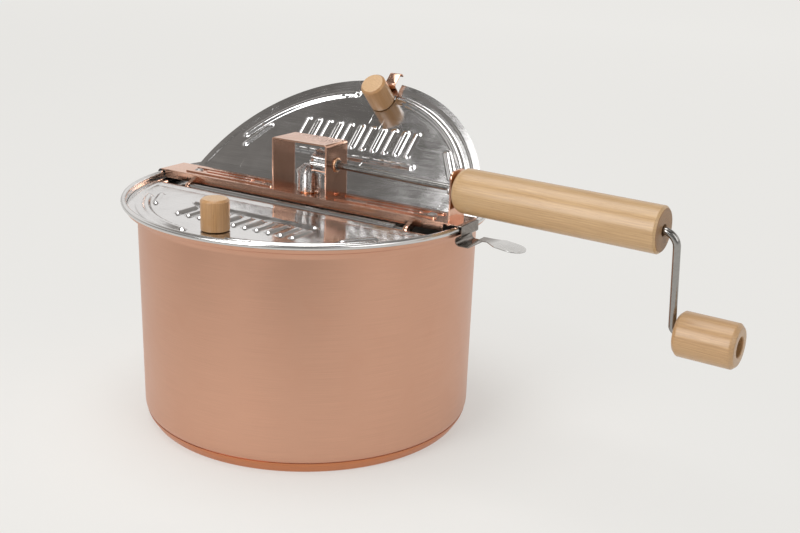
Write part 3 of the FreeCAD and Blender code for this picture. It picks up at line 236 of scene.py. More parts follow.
def shade(color, share):
    """A colour times a share."""
    return tuple(c * share for c in color)


def metal(name, color, rough, lines, spread, relief, turned=False, stain=None):
    """Worked metal: fine lines along the way it was brushed or drawn, soft smudges and a little wear.

    lines says how closely the lines lie along each axis, or round the Z axis where the piece was turned.
    """
    n = MaterialNodes(name)
    place = n.object_space()
    grain_place = n.stretch(n.around(place) if turned else place, *lines)
    grain = n.noise(grain_place, 1.0, 4.0, 0.65)
    smudge = n.noise(place, 38.0, 4.0, 0.55, 0.6)
    blotch = n.noise(place, 9.0, 2.0)
    specks = n.range(n.noise(place, 900.0, 2.0, 0.7), 0.66, 0.74, 0.0, 1.0)
    base = n.blend(n.range(grain, 0.3, 0.7, 0.0, 1.0), shade(color, 0.86), color)
    base = n.blend(n.range(smudge, 0.52, 0.75, 0.0, 0.35), base, stain or shade(color, 0.8))
    rough_lines = n.range(grain, 0.25, 0.75, max(0.02, rough - spread), rough + spread)
    rough_all = n.math("ADD", rough_lines, n.range(smudge, 0.4, 0.7, 0.0, spread * 1.2))
    rough_all = n.math("ADD", rough_all, n.range(blotch, 0.4, 0.65, 0.0, spread * 0.6))
    height = n.math("ADD", grain, n.math("MULTIPLY", specks, 0.35))
    return n.set(base_color=base, metallic=1.0, roughness=rough_all,
                 normal=n.bump(height, relief, 0.0002))


def strip_metal():
    """Spring steel, dark with painted shade where it bends round the rim, and pale at the finger tab."""
    # Where the painted shade on the curl fades out along x, and how ragged its edge is
    shade_fade_start, shade_fade_end, ragged = 0.1415, 0.1475, 0.006
    n = MaterialNodes("strip_steel")
    place = n.object_space()
    smudge = n.noise(place, 60.0, 4.0, 0.6, 0.5)
    lines = n.noise(n.stretch(place, 90.0, 2400.0, 2400.0), 1.0, 3.0, 0.6)
    stray = n.math("MULTIPLY", n.math("SUBTRACT", smudge, 0.5), ragged)
    along = n.math("ADD", n.axes(place)[0], stray)
    # Painted shade: the curl round the rim gets a dark colour, which fades out towards the finger tab with a
    # ragged edge
    out_of_painted_shade = n.range(along, shade_fade_start, shade_fade_end, 0.0, 1.0)
    painted_shade_curl = n.blend(n.range(smudge, 0.4, 0.7, 0.0, 1.0), (0.20, 0.18, 0.165), (0.32, 0.29, 0.265))
    pale = n.blend(n.range(lines, 0.3, 0.7, 0.0, 1.0), (0.58, 0.575, 0.56), (0.66, 0.655, 0.64))
    rough = n.math("ADD", n.range(lines, 0.3, 0.7, 0.17, 0.27), n.range(smudge, 0.4, 0.7, 0.0, 0.08))
    return n.set(base_color=n.blend(out_of_painted_shade, painted_shade_curl, pale), metallic=1.0, roughness=rough,
                 normal=n.bump(lines, 0.05, 0.0002))


def wood(name, matrix, light, dark, pore, end=False, coat=0.5):
    """Varnished close-grained wood, its grain along the Z axis of the matrix, or its cut end."""
    heart_x, heart_y = 0.031, 0.012
    rings_per_metre, ring_warp = 560.0, 7.0
    pore_share = 0.85 if end else 0.55
    n = MaterialNodes(name)
    place = n.object_space(matrix)
    parts = n.axes(place)
    warp = n.noise(n.stretch(place, 60, 60, 9), 1.0, 3.0, 0.55)
    off_x = n.math("ADD", parts[0], heart_x)
    off_y = n.math("ADD", parts[1], heart_y)
    squares = n.math("ADD", n.math("MULTIPLY", off_x, off_x), n.math("MULTIPLY", off_y, off_y))
    ring = n.math("MULTIPLY", n.math("SQRT", squares), rings_per_metre)
    ring = n.math("ADD", ring, n.math("MULTIPLY", warp, ring_warp))
    ring = n.math("SINE", n.math("MULTIPLY", ring, 2 * math.pi))
    ring = n.range(ring, -1.0, 1.0, 0.0, 1.0)
    streak = n.noise(n.stretch(place, 1500, 1500, 26), 1.0, 4.0, 0.6)
    fleck = n.noise(n.stretch(place, 3800, 3800, 130), 1.0, 2.0, 0.6)
    patch = n.noise(n.stretch(place, 70, 70, 22), 1.0, 2.0)
    base = n.blend(n.range(streak, 0.32, 0.68, 0.0, 1.0), dark, light)
    base = n.blend(n.math("MULTIPLY", ring, 0.30), base, shade(dark, 0.8))
    base = n.blend(n.range(patch, 0.42, 0.68, 0.0, 0.4), base, shade(light, 0.92))
    pores = n.range(fleck, 0.60, 0.72, 0.0, pore_share)
    base = n.blend(pores, base, pore)
    rough = n.math("ADD", n.range(streak, 0.3, 0.7, 0.40, 0.52), n.math("MULTIPLY", pores, 0.2))
    height = n.math("SUBTRACT", n.math("MULTIPLY", streak, 0.4), pores)
    return n.set(base_color=base, roughness=rough, coat_weight=coat, coat_roughness=0.20,
                 specular_ior_level=0.4, normal=n.bump(height, 0.12, 0.00025))


# Colours of the metals, then the light grain, dark grain and pores of each wood
COPPER = (0.70, 0.40, 0.28)
COPPER_STAIN = (0.64, 0.355, 0.245)
# The base disc's copper is darker and deeper than the pot's, as painted shade for a side that faces the
# floor
DISC_COPPER_PAINTED_SHADE = (0.66, 0.27, 0.13)
BRIGHT = (0.80, 0.49, 0.36)
BRIGHT_STAIN = (0.66, 0.30, 0.18)
BUSHING = (0.78, 0.46, 0.28)
STEEL = (0.70, 0.69, 0.68)
INSIDE_STEEL = (0.62, 0.60, 0.58)
LID_STEEL = (0.70, 0.69, 0.685)
ROD_STEEL = (0.37, 0.36, 0.345)
GEAR_STEEL = (0.62, 0.61, 0.60)
RIVET_STEEL = (0.45, 0.43, 0.42)
HANDLE_COLORS = (0.53, 0.35, 0.18), (0.42, 0.26, 0.122), (0.27, 0.145, 0.06)
HANDLE_END_COLORS = (0.36, 0.205, 0.095), (0.25, 0.135, 0.058), (0.10, 0.052, 0.024)
GRIP_COLORS = (0.51, 0.32, 0.16), (0.40, 0.235, 0.107), (0.25, 0.13, 0.05)
KNOB_COLORS = (0.46, 0.26, 0.112), (0.37, 0.195, 0.077), (0.22, 0.105, 0.04)
KNOB_TOP_COLORS = (0.60, 0.40, 0.225), (0.50, 0.315, 0.165), (0.25, 0.13, 0.06)

materials = {
    "pot_copper": metal("satin_copper", COPPER, rough=0.37, lines=(3.0, 1.0, 5200.0), spread=0.03,
                        relief=0.05, turned=True, stain=COPPER_STAIN),
    "disc_copper": metal("disc_copper", DISC_COPPER_PAINTED_SHADE, rough=0.34, lines=(3.0, 1.0, 4200.0), spread=0.05,
                         relief=0.08, turned=True),
    "rim_steel": metal("rim_steel", STEEL, rough=0.16, lines=(2.0, 1.0, 6000.0), spread=0.04,
                       relief=0.03, turned=True),
    "pot_inside": metal("pot_inside", INSIDE_STEEL, rough=0.26, lines=(2.5, 1.0, 4200.0), spread=0.06,
                        relief=0.06, turned=True),
    "bright_copper": metal("bright_copper", BRIGHT, rough=0.13, lines=(60.0, 2600.0, 2600.0),
                           spread=0.05, relief=0.05, stain=BRIGHT_STAIN),
    "lid_steel": metal("lid_steel", LID_STEEL, rough=0.11, lines=(40.0, 2400.0, 2400.0), spread=0.05,
                       relief=0.035),
    "strip_steel": strip_metal(),
    "rod_steel": metal("rod_steel", ROD_STEEL, rough=0.15, lines=(500.0, 500.0, 500.0), spread=0.05,
                       relief=0.04),
    "gear_steel": metal("gear_steel", GEAR_STEEL, rough=0.24, lines=(700.0, 700.0, 2000.0), spread=0.08,
                        relief=0.10),
    "bushing_metal": metal("bushing_metal", BUSHING, rough=0.24, lines=(900.0, 900.0, 900.0),
                           spread=0.08, relief=0.08),
    "rivet_steel": metal("rivet_steel", RIVET_STEEL, rough=0.30, lines=(1200.0, 1200.0, 1200.0),
                         spread=0.08, relief=0.12),
    "handle_wood": wood("handle_wood", HANDLE_PLACE, *HANDLE_COLORS),
    "handle_end": wood("handle_end", HANDLE_PLACE, *HANDLE_END_COLORS, end=True, coat=0.15),
    "knob_wood": wood("grip_wood", GRIP_PLACE, *GRIP_COLORS),
    "knob_end": wood("grip_end", GRIP_PLACE, *KNOB_COLORS, end=True, coat=0.2),
    "front_knob": wood("front_knob_wood", FRONT_KNOB_PLACE, *KNOB_COLORS),
    "front_knob_top": wood("front_knob_top", FRONT_KNOB_PLACE, *KNOB_TOP_COLORS, end=True, coat=0.25),
    "rear_knob": wood("rear_knob_wood", REAR_KNOB_PLACE, *KNOB_COLORS),
    "rear_knob_top": wood("rear_knob_top", REAR_KNOB_PLACE, *KNOB_TOP_COLORS, end=True, coat=0.25),
}


# Mesh making

# Points closer than this, in metres, become one point
MERGE = 1e-6


def link(name, data):
    """A new object in the scene."""
    made = bpy.data.objects.new(name, data)
    bpy.context.scene.collection.objects.link(made)
    return made


def add_piece(name, data, body):
    """A new object that rides on a body."""
    made = link(name, data)
    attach(made, body)
    return made


def finish_mesh(name, vertices, faces, body, mats, matrix=None, angle=32, kinds=None):
    """An object from vertices in millimetres, smooth but for its edges, riding on a body."""
    mesh = bpy.data.meshes.new(name)
    mesh.from_pydata([Vector(v) / 1000 for v in vertices], [], faces)
    if matrix is not None:
        mesh.transform(matrix)
    for key in mats:
        mesh.materials.append(materials[key])
    if kinds:
        mesh.polygons.foreach_set("material_index", kinds)
    build = bmesh.new()
    build.from_mesh(mesh)
    bmesh.ops.remove_doubles(build, verts=build.verts, dist=MERGE)
    bmesh.ops.recalc_face_normals(build, faces=build.faces)
    build.to_mesh(mesh)
    build.free()
    mesh.shade_smooth()
    mesh.set_sharp_from_angle(angle=math.radians(angle))
    return add_piece(name, mesh, body)


def soften(points, radii, steps=4, closed=True):
    """An outline with each corner rounded by its own radius; a radius of 0 leaves a corner as it is."""
    spots = [Vector(p) for p in points]
    last = len(spots) - 1
    # A round takes at most this share of each side it joins
    side_share = 0.49
    out = []
    for i, (spot, radius) in enumerate(zip(spots, radii)):
        if radius == 0 or (not closed and i in (0, last)):
            out.append(tuple(spot))
            continue
        before = spots[i - 1] - spot
        after = spots[(i + 1) % len(spots)] - spot
        half_bend = before.angle(after) / 2
        reach = min(radius / math.tan(half_bend), before.length * side_share, after.length * side_share)
        start = spot + before.normalized() * reach
        end = spot + after.normalized() * reach
        for k in range(steps + 1):
            t = k / steps
            out.append(tuple(start * (1 - t) ** 2 + spot * (2 * t * (1 - t)) + end * t ** 2))
    return out


def arc(centre, radius, first, last, steps=14):
    """Points of an arc in a plane, angles in degrees."""
    out = []
    for k in range(steps + 1):
        a = math.radians(first + (last - first) * k / steps)
        out.append((centre[0] + radius * math.cos(a), centre[1] + radius * math.sin(a)))
    return out


def lathe(name, outline, body, mats, steps, matrix=None, kind_of=None, angle=32):
    """A closed (radius, height) outline in millimetres turned about Z. kind_of numbers a side's material."""
    on_axis = 1e-6
    count = len(outline)
    vertices = []
    for s in range(steps):
        a = 2 * math.pi * s / steps
        vertices += [(r * math.cos(a), r * math.sin(a), z) for r, z in outline]
    faces, kinds = [], []
    for s in range(steps):
        following = (s + 1) % steps
        for i in range(count):
            j = (i + 1) % count
            if outline[i][0] < on_axis and outline[j][0] < on_axis:
                continue
            faces.append((s * count + i, following * count + i, following * count + j, s * count + j))
            kinds.append(kind_of(outline[i], outline[j]) if kind_of else 0)
    return finish_mesh(name, vertices, faces, body, mats, matrix, angle, kinds)


def tube(name, points, radius, body, mat, matrix):
    """A round rod along points in millimetres, with closed flat ends."""
    roundness = 8
    curve = bpy.data.curves.new(name, "CURVE")
    curve.dimensions = "3D"
    curve.bevel_depth = radius / 1000
    curve.bevel_resolution = roundness
    curve.use_fill_caps = True
    line = curve.splines.new("POLY")
    line.points.add(len(points) - 1)
    for spot, place in zip(line.points, points):
        spot.co = (*(matrix @ (Vector(place) / 1000)), 1.0)
    curve.materials.append(materials[mat])
    return add_piece(name, curve, body)


def ease(made, width):
    """Small rounded edges, in millimetres."""
    sharper_than = 35
    bevel = made.modifiers.new("ease", "BEVEL")
    bevel.width = width / 1000
    bevel.segments = 2
    bevel.limit_method = "ANGLE"
    bevel.angle_limit = math.radians(sharper_than)
    bevel.harden_normals = True


# Pot and base disc

FOOT_CENTRE = (POT_FOOT - CORNER, FLOOR + CORNER)
TURNED_STEPS = 220


def make_pot():
    foot_steps, wall_steps, flare_steps, bead_steps = 18, 24, 6, 30
    # The wall's straight part ends this far under the flare and this much inside the top radius
    below_flare, lean = 6, 0.05
    # The ledge runs on past the lid's radius, by more on its underside
    lid_gap, lid_gap_under = 0.35, 1.25
    # Outside, the ledge begins this much further out, and inside, the flare begins this much higher
    ledge_shift, flare_shift = 0.5, 0.3
    # Rounds from the wall to the ledge, on the ledge and at the foot of the rim
    wall_round, ledge_round, rim_round_out, rim_round_in = 5, 4, 1.8, 0.9
    # Angles where the rim's bead begins and ends, and where the sheet meets it outside and inside
    bead_first, bead_last = -82, 200
    meet_out = (BEAD_R + 0.2, BEAD_Z - BEAD_ROUND * 0.95)
    meet_in = (BEAD_R - BEAD_ROUND * 0.97, BEAD_Z - 1.0)

    wall_top, wall_end = POT_TOP - lean, FLARE - below_flare
    outer_foot = arc(FOOT_CENTRE, CORNER, -90, 0, foot_steps)
    inner_foot = arc(FOOT_CENTRE, CORNER - WALL, 0, -90, foot_steps)
    flare_out = [(wall_top, wall_end), (POT_TOP, FLARE), (LEDGE_INNER + ledge_shift, LEDGE - WALL),
                 (LID_R + lid_gap_under, LEDGE - WALL), meet_out]
    flare_out = soften(flare_out, [0, wall_round, ledge_round, rim_round_out, 0], flare_steps, closed=False)
    bead = arc((BEAD_R, BEAD_Z), BEAD_ROUND, bead_first, bead_last, bead_steps)
    flare_in = [meet_in, (LID_R + lid_gap, LEDGE), (LEDGE_INNER, LEDGE),
                (POT_TOP - WALL, FLARE + flare_shift), (POT_TOP - WALL - lean, wall_end)]
    flare_in = soften(flare_in, [0, rim_round_in, ledge_round, wall_round, 0], flare_steps, closed=False)
    wall_out, wall_in = [], []
    low = FLOOR + CORNER
    for k in range(1, wall_steps):
        t = k / wall_steps
        z = low + (wall_end - low) * t
        r = POT_FOOT + (wall_top - POT_FOOT) * t
        wall_out.append((r, z))
        wall_in.append((r - WALL, z))
    outside = [(0, FLOOR)] + outer_foot + wall_out + flare_out
    rim = bead + flare_in
    inside = list(reversed(wall_in)) + inner_foot + [(0, FLOOR + WALL)]
    kinds = {}
    for kind, points in enumerate((outside, rim, inside)):
        for point in points:
            kinds[point] = kind
    pot = lathe("pot_shell_body", outside + rim + inside, "base",
                ["pot_copper", "rim_steel", "pot_inside"], TURNED_STEPS, kind_of=lambda a, b: kinds[a],
                angle=40)
    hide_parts("pot_shell")


def make_disc():
    foot_slope, lip_back, lip_drop = 1, 0.9, 2.4
    seam = 0.02
    lip_angle = math.degrees(math.asin((FLOOR + CORNER - DISC_LIP_Z) / CORNER))
    under = arc(FOOT_CENTRE, CORNER + seam, -lip_angle, -90, 12)
    side = [(0, 0), (DISC_FOOT - foot_slope, 0), (DISC_FOOT, foot_slope),
            (DISC_LIP - lip_back, DISC_LIP_Z - lip_drop), (DISC_LIP, DISC_LIP_Z)]
    outline = soften(side, [0, 0.6, 0.8, 1.2, 0], closed=False) + under + [(0, FLOOR)]
    disc = lathe("base_disc_body", outline, "base", ["disc_copper"], TURNED_STEPS)
    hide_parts("base_disc")


# Lids

# Beads pressed into a lid, each with half its width and its rise, and their places from the hinge line.
# The curved rib is placed round the pot's middle instead, its ends by the angle from the hinge line.
CURVED_RIB = {"half": 3.2, "rise": 2.0}
CURVED_RIB_R = 110.5
CURVED_RIB_FIRST = 32.5
CURVED_RIB_LAST = 80.5
SIDE_RIB = {"half": 2.8, "rise": 1.6}
SIDE_RIB_X = 83.5
SIDE_RIB_Y = 41.5
SIDE_RIB_REACH = 11.3
SIDE_RIB_SLANT = math.radians(-57)
SIDE_RIB_REACH_X = SIDE_RIB_REACH * math.cos(SIDE_RIB_SLANT)
SIDE_RIB_REACH_Y = SIDE_RIB_REACH * math.sin(SIDE_RIB_SLANT)
SIDE_RIB_START = (SIDE_RIB_X - SIDE_RIB_REACH_X, SIDE_RIB_Y - SIDE_RIB_REACH_Y)
SIDE_RIB_END = (SIDE_RIB_X + SIDE_RIB_REACH_X, SIDE_RIB_Y + SIDE_RIB_REACH_Y)
FLUTE = {"half": 2.6, "rise": 1.6}
FLUTE_PITCH = 9.5
FLUTES_EACH_SIDE = 5
FLUTE_START = 44.2
FLUTE_END = 61.8
LONG_BEAD = {"half": 2.6, "rise": 1.5}
LONG_BEAD_Y = 35
LONG_BEAD_START = (-45.3, LONG_BEAD_Y)
LONG_BEAD_END = (55.3, LONG_BEAD_Y)
# The field inside the rim band lies a little lower, except beside the hinge
BAND_R = 118.6
BAND_RUN = 1.6
FIELD_SINK = 0.45
FIELD_START = 6
FIELD_RUN = 6


def share_of(value):
    """A value held between 0 and 1."""
    return max(0.0, min(1.0, value))


def smooth(t):
    """A step from 0 to 1 that starts and ends level."""
    return t * t * (3 - 2 * t)


def bump_height(distance, half, rise):
    """Section of a pressed bead: a flat top with smooth sides."""
    side = half * 0.75
    return rise * smooth(share_of((half - abs(distance)) / side))


def slot_distance(x, y, start, end):
    """Distance from a point to a line between two points."""
    dx, dy = end[0] - start[0], end[1] - start[1]
    t = share_of(((x - start[0]) * dx + (y - start[1]) * dy) / (dx * dx + dy * dy))
    return math.hypot(x - start[0] - dx * t, y - start[1] - dy * t)


def sheet_wave(x, y):
    """The slight unevenness of a pressed sheet: a broad wave and a fine one."""
    wave = 0.0
    for height, length, layer in ((0.10, 26, 1.7), (0.03, 9, 4.1)):
        wave += height * noise.noise(Vector((x / length, y / length, layer)))
    return wave


def lid_relief(x, y):
    """Height of a lid's pressed pattern over its flat face, in millimetres."""
    r = math.hypot(x, y + HINGE_Y)
    angle = math.degrees(math.atan2(y + HINGE_Y, abs(x)))
    past_end = math.radians(max(CURVED_RIB_FIRST - angle, angle - CURVED_RIB_LAST, 0)) * r
    row_end = FLUTES_EACH_SIDE * FLUTE_PITCH
    flute_x = max(-row_end, min(row_end, round(x / FLUTE_PITCH) * FLUTE_PITCH))
    high = max(
        bump_height(math.hypot(r - CURVED_RIB_R, past_end), **CURVED_RIB),
        bump_height(slot_distance(abs(x), y, SIDE_RIB_START, SIDE_RIB_END), **SIDE_RIB),
        bump_height(slot_distance(x, y, (flute_x, FLUTE_START), (flute_x, FLUTE_END)), **FLUTE),
        bump_height(slot_distance(x, y, LONG_BEAD_START, LONG_BEAD_END), **LONG_BEAD),
    )
    band = share_of((BAND_R - r) / BAND_RUN)
    sink = FIELD_SINK * smooth(band) * share_of((y - FIELD_START) / FIELD_RUN)
    return high - sink + sheet_wave(x, y) * band


def make_lid(side, matrix, notch):
    """A lid as one pressed sheet with its straight edge rolled round the pin."""
    # The sheet begins at the roll, and beside the roll it stands back from the hinge line
    roll_edge, cut_back = 1.7, 4.4
    rows, roll_steps = 112, 30
    roll_first, roll_turn = 62, 330
    # Width of the steep faces at the roll's ends and at the notch
    step, notch_step = 0.01, 0.02

    corner = math.sqrt(LID_R ** 2 - (HINGE_Y + cut_back) ** 2)
    whole = int(corner)
    places = [float(x) for x in range(-whole, whole + 1)] + [-corner, corner]
    places += [-TUBE_SHORT, -TUBE_SHORT + step, TUBE_LONG, TUBE_LONG - step]
    low, high = NOTCH_X - NOTCH_HALF, NOTCH_X + NOTCH_HALF
    if notch:
        places += [low - notch_step, low, high, high + notch_step]
    places = sorted(set(places))
    vertices, faces = [], []
    for face in (LID_FACE, LID_FACE - LID_SHEET):
        for x in places:
            start = roll_edge if -TUBE_SHORT < x < TUBE_LONG else cut_back
            end = math.sqrt(max(LID_R ** 2 - x * x, (HINGE_Y + cut_back) ** 2)) - HINGE_Y
            if notch and low <= x <= high:
                end = LID_R - HINGE_Y - NOTCH_DEPTH
            for k in range(rows + 1):
                y = start + (end - start) * k / rows
                vertices.append((x, y, face + lid_relief(x, y)))
    columns = len(places)
    per = rows + 1
    layer = columns * per
    for c in range(columns - 1):
        for k in range(rows):
            a, b = c * per + k, (c + 1) * per + k
            faces.append((a, b, b + 1, a + 1))
            faces.append((layer + a, layer + a + 1, layer + b + 1, layer + b))
        for k in (0, rows):
            a, b = c * per + k, (c + 1) * per + k
            faces.append((a, layer + a, layer + b, b) if k == 0 else (a, b, layer + b, layer + a))
    for c in (0, columns - 1):
        for k in range(rows):
            a = c * per + k
            quad = (a, a + 1, layer + a + 1, layer + a)
            faces.append(quad if c == 0 else (a, layer + a, layer + a + 1, a + 1))

    first = len(vertices)
    ring = arc((0, 0), TUBE_R, roll_first, roll_first - roll_turn, roll_steps)
    inner = arc((0, 0), TUBE_BORE, roll_first, roll_first - roll_turn, roll_steps)
    loop = ring + list(reversed(inner))
    count = len(loop)
    for x in (-TUBE_SHORT, TUBE_LONG):
        vertices += [(x, y, z) for y, z in loop]
    for i in range(count):
        j = (i + 1) % count
        faces.append((first + i, first + count + i, first + count + j, first + j))
    for end_at, flip in ((first, False), (first + count, True)):
        for i in range(len(ring) - 1):
            quad = (end_at + i, end_at + i + 1, end_at + count - 2 - i, end_at + count - 1 - i)
            faces.append(tuple(reversed(quad)) if flip else quad)
    lid = finish_mesh(side + "_lid_panel", vertices, faces, side + "_lid", ["lid_steel"],
                      matrix, angle=38)
    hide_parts(side + "_lid")


# Wooden pieces

def make_handle():
    length = HANDLE_END - HANDLE_START
    nose, nose_run, chamfer, bore_chamfer = 7.2, 4, 1.6, 0.4
    # Sides this near the end and sides of less than this radius show cut wood
    end_band, bore_band = 0.5, 3.9

    def kind_of(a, b):
        at_end = a[1] > length - end_band and b[1] > length - end_band
        return int(at_end or a[0] + b[0] < 2 * bore_band)

    outline = [(HANDLE_BORE, 0.0)] + arc((HANDLE_R - nose, nose), nose, -90, 0, 12)
    outline += soften([(HANDLE_R, nose + nose_run), (HANDLE_R, length - chamfer),
                       (HANDLE_R - chamfer, length), (HANDLE_BORE + bore_chamfer, length),
                       (HANDLE_BORE, length - bore_chamfer)],
                      [0, 0.9, 0.9, 0.3, 0], closed=False)
    handle = lathe("handle_grip", outline, "base", ["handle_wood", "handle_end"], 120,
                   HANDLE_PLACE, kind_of, angle=50)
    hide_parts("handle")


def make_crank_knob():
    bore, recess_r, mouth = 2.46, 6.2, 0.5
    shoulder, shoulder_height = 2.2, 2.4
    # Sides of less than this radius show cut wood
    cut_band = 6.9
    recess_floor = GRIP_LENGTH - GRIP_RECESS
    outline = soften([(bore, 0), (GRIP_R - shoulder, 0), (GRIP_R, shoulder_height),
                      (GRIP_R, GRIP_LENGTH - shoulder_height), (GRIP_R - shoulder, GRIP_LENGTH),
                      (recess_r + mouth, GRIP_LENGTH), (recess_r, GRIP_LENGTH - mouth),
                      (recess_r, recess_floor), (bore, recess_floor)],
                     [0, 1.3, 1.3, 1.3, 1.3, 0.4, 0.4, 0, 0])
    grip = lathe("crank_knob_grip", outline, "crank_grip", ["knob_wood", "knob_end"], 100,
                 GRIP_PLACE, lambda a, b: int(a[0] < cut_band and b[0] < cut_band), angle=50)
    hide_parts("crank_knob")


def make_lid_knobs():
    foot_slope, foot_height, chamfer = 0.3, 0.4, 1.5
    # Sides this near the top show cut wood
    top_band = 0.2
    top = KNOB_HEIGHT
    outline = soften([(0, 0), (KNOB_R - foot_slope, 0), (KNOB_R, foot_height), (KNOB_R, top - chamfer),
                      (KNOB_R - chamfer, top), (0, top)], [0, 0.2, 0.2, 0.8, 0.8, 0])
    for side, matrix in (("front", FRONT_KNOB_PLACE), ("rear", REAR_KNOB_PLACE)):
        knob = lathe(side + "_lid_knob_turned", outline, side + "_lid",
                     [side + "_knob", side + "_knob_top"], 80, matrix,
                     lambda a, b: int(a[1] > top - top_band and b[1] > top - top_band), angle=50)
        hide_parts(side + "_lid_knob")


# Rods

def make_crank_rod():
    start, before_bend, past_recess_floor = 3.2, 0.5, 2.2
    tip = GRIP_START + GRIP_LENGTH - GRIP_RECESS + past_recess_floor
    turn_out = arc((ARM_PLACE - ARM_BEND, -ARM_BEND), ARM_BEND, 90, 0)
    turn_in = arc((ARM_PLACE + PIN_BEND, PIN_BEND - ARM_LENGTH), PIN_BEND, 180, 270)
    straight = [(start, 0), (ARM_PLACE - ARM_BEND - before_bend, 0)]
    line = straight + turn_out + turn_in + [(tip, -ARM_LENGTH)]
    rod = tube("crank_rod", [(x, 0, z) for x, z in line], ROD_R, "crank", "rod_steel", CRANK)
    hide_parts("crank_shaft")


def make_stirring_wire():
    """An S-shaped wire just over the pot's floor, with an arm on either side of the shaft."""
    wire_r, clear_of_floor = 1.5, 2.4
    straight, bend, blade, bend_angle = 14.0, 45.0, 62.0, 30
    arm = [(0, 0)] + arc((straight, bend), bend, -90, bend_angle - 90)
    x, y = arm[-1]
    heading = math.radians(bend_angle)
    arm.append((x + blade * math.cos(heading), y + blade * math.sin(heading)))
    height = FLOOR + WALL + clear_of_floor + wire_r
    points = [(-x, -y, height) for x, y in reversed(arm[1:])] + [(x, y, height) for x, y in arm]
    wire = tube("stirring_wire", points, wire_r, "stirrer", "rod_steel", shift())
    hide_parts("stirrer_wire")


# Everything that keeps its own solid gets the finish of its slot, and these get eased edges

EASED = {
    "crossbar": 0.35, "gear_bracket": 0.3, "handle_plate": 0.25, "lid_clip": 0.2, "rim_hook": 0.12,
    "latch_spring": 0.12, "latch_tab": 0.12, "driven_gear": 0.18, "drive_gear": 0.18,
    "crank_bushing": 0.15, "shaft_bushing": 0.15, "stirrer_ring": 0.12, "crank_ring": 0.12,
    "handle_screws": 0.12, "knob_cap": 0.15,
}


def dress_solids():
    slots = {entry["node"]: entry["material_slot"] for entry in frame["record"]["subparts"]}
    for name, node in frame["nodes"].items():
        node.data.materials.clear()
        node.data.materials.append(materials[slots[name]])
        if name in EASED and not node.hide_render:
            weld = node.modifiers.new("weld", "WELD")
            weld.merge_threshold = MERGE
            ease(node, EASED[name])


# Stage, lamps and camera, in metres

BACKDROP = (0.815, 0.805, 0.78)
FLOOR_DARK = (0.79, 0.78, 0.755)
FLOOR_LIGHT = (0.81, 0.80, 0.775)


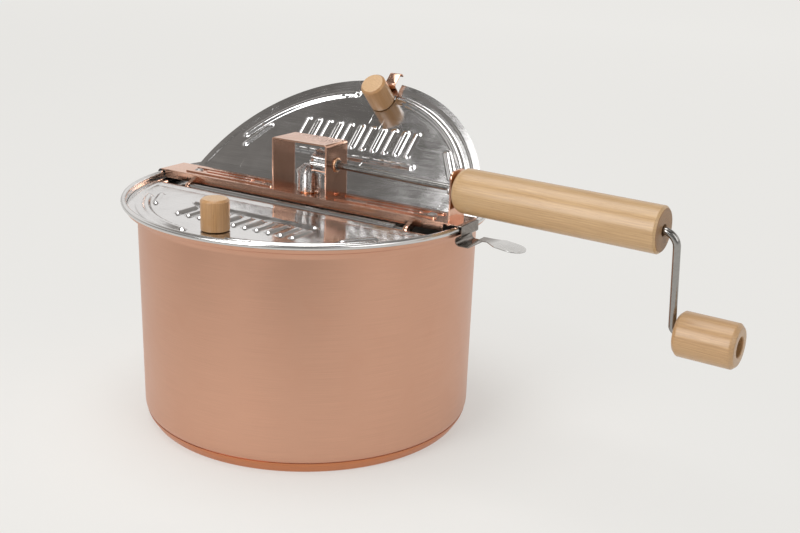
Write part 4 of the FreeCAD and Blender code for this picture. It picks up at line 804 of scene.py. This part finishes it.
def make_stage():
    size = 14.0
    mesh = bpy.data.meshes.new("floor")
    mesh.from_pydata([(-size, -size, 0), (size, -size, 0), (size, size, 0), (-size, size, 0)], [],
                     [(0, 1, 2, 3)])
    n = MaterialNodes("floor_paint")
    place = n.object_space()
    paint = n.blend(n.noise(place, 40.0, 3.0), FLOOR_DARK, FLOOR_LIGHT)
    n.set(base_color=paint, roughness=0.9, specular_ior_level=0.1)
    rays = n.add("ShaderNodeLightPath").outputs
    mirrored = n.math("MAXIMUM", rays["Is Glossy Ray"], rays["Is Transmission Ray"])
    seen = n.math("MAXIMUM", rays["Is Camera Ray"], mirrored)
    # Reflections see a darker table in front of the object, and the far end is a little lighter for all
    depth = n.axes(place)[1]
    table = n.math("MAXIMUM", n.range(depth, -0.75, -0.30, 0.22, 1.0), rays["Is Camera Ray"])
    table = n.math("MULTIPLY", table, n.range(depth, 0.1, 2.5, 1.0, 1.09))
    paper = n.add("ShaderNodeEmission", {"Color": (*BACKDROP, 1), "Strength": table}).outputs[0]
    # Near the object the floor shows its paint and shadows, and further out it is mostly plain paper
    away = n.add("ShaderNodeVectorMath", {0: place}, operation="LENGTH").outputs["Value"]
    share = n.math("MULTIPLY", seen, n.range(away, 0.13, 0.30, 0.54, 0.88))
    mixed = n.add("ShaderNodeMixShader", {0: share, 1: n.shader.outputs[0], 2: paper}).outputs[0]
    n.tree.links.new(mixed, n.output.inputs["Surface"])
    mesh.materials.append(n.material)
    floor = link("floor", mesh)
    floor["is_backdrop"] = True


def make_world():
    """A plain pale backdrop for the camera, and a room for the reflections, darker in front and overhead."""
    # Height in the room, how bright it is there and how warm
    room_levels = (
        (0.14, 0.62, 0.98),
        (0.24, 1.0, 0.985),
        (0.46, 1.0, 0.985),
        (0.60, 0.36, 0.94),
        (0.84, 0.22, 0.94),
    )
    world = bpy.data.worlds.new("studio")
    bpy.context.scene.world = world
    world.use_nodes = True
    n = Nodes(world.node_tree)
    n.tree.nodes.clear()
    way = n.add("ShaderNodeTexCoord").outputs["Generated"]
    parts = n.axes(way)
    ramp = n.add("ShaderNodeValToRGB", {0: parts[2]})
    stops = ramp.color_ramp.elements
    stops[0].position, stops[0].color = 0.0, (0.54, 0.53, 0.515, 1)
    stops[1].position, stops[1].color = 1.0, (0.50, 0.49, 0.48, 1)
    for position, value, warm in room_levels:
        stop = stops.new(position)
        stop.color = (value, value * warm, value * warm * warm, 1)
    ahead = n.range(parts[1], -0.75, -0.15, 0.35, 1.0)
    # Broad light and dark patches, only in the upper part
    bands = n.range(n.noise(way, 2.4, 1.0), 0.40, 0.62, -0.34, 0.40)
    high = n.range(parts[2], 0.45, 0.60, 0.0, 1.0)
    swing = n.add("ShaderNodeMath", {0: bands, 1: high, 2: 1.0}, operation="MULTIPLY_ADD").outputs[0]
    level = n.math("MULTIPLY", ahead, swing)
    room = n.add("ShaderNodeBackground", {"Color": ramp.outputs[0], "Strength": level})
    plain = n.add("ShaderNodeBackground", {"Color": (*BACKDROP, 1)})
    camera = n.add("ShaderNodeLightPath").outputs["Is Camera Ray"]
    mix = n.add("ShaderNodeMixShader", {0: camera, 1: room.outputs[0], 2: plain.outputs[0]})
    n.add("ShaderNodeOutputWorld", {"Surface": mix.outputs[0]})


def soft_lamp(name, place, target, size, power):
    data = bpy.data.lights.new(name, "AREA")
    data.shape = "RECTANGLE"
    data.size, data.size_y = size
    data.energy = power
    lamp = link(name, data)
    lamp.location = place
    lamp.rotation_euler = (Vector(target) - Vector(place)).to_track_quat("-Z", "Y").to_euler()


def make_lamps():
    soft_lamp("ceiling_softbox", place=(-0.17, -0.10, 1.70), target=(-0.17, -0.10, 0), size=(1.1, 1.1),
              power=14)
    soft_lamp("front_softbox", place=(-0.25, -1.75, 0.9), target=(0, 0, 0.1), size=(1.0, 1.3), power=24)
    soft_lamp("right_softbox", place=(1.7, -0.5, 0.9), target=(0.1, 0, 0.1), size=(0.9, 1.3), power=5)


def make_camera():
    """The camera of the photo, fitted to the object's measured outlines."""
    place = Vector((0.49346, -0.66535, 0.3652))
    target = Vector((0.05473, 0.03432, 0.10677))
    roll = math.radians(1.758)
    data = bpy.data.cameras.new("camera")
    data.sensor_width = 36.0
    data.lens = 55.23
    data.clip_start, data.clip_end = 0.02, 60
    camera = link("camera", data)
    forward = (target - place).normalized()
    right = forward.cross(Vector((0, 0, 1))).normalized()
    up = right.cross(forward)
    side = right * math.cos(roll) + up * math.sin(roll)
    top = up * math.cos(roll) - right * math.sin(roll)
    camera.matrix_world = Matrix.Translation(place) @ Matrix((side, top, -forward)).transposed().to_4x4()
    bpy.context.scene.camera = camera


make_pot()
make_disc()
make_lid("front", FRONT, False)
make_lid("rear", REAR, True)
make_handle()
make_crank_knob()
make_lid_knobs()
make_crank_rod()
make_stirring_wire()
dress_solids()
make_stage()
make_world()
make_lamps()
make_camera()
bpy.context.scene.view_settings.view_transform = "Standard"

boxes = {"cad": cad_box, "visual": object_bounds()}
{key: [list(corner) for corner in pair] for key, pair in boxes.items()}
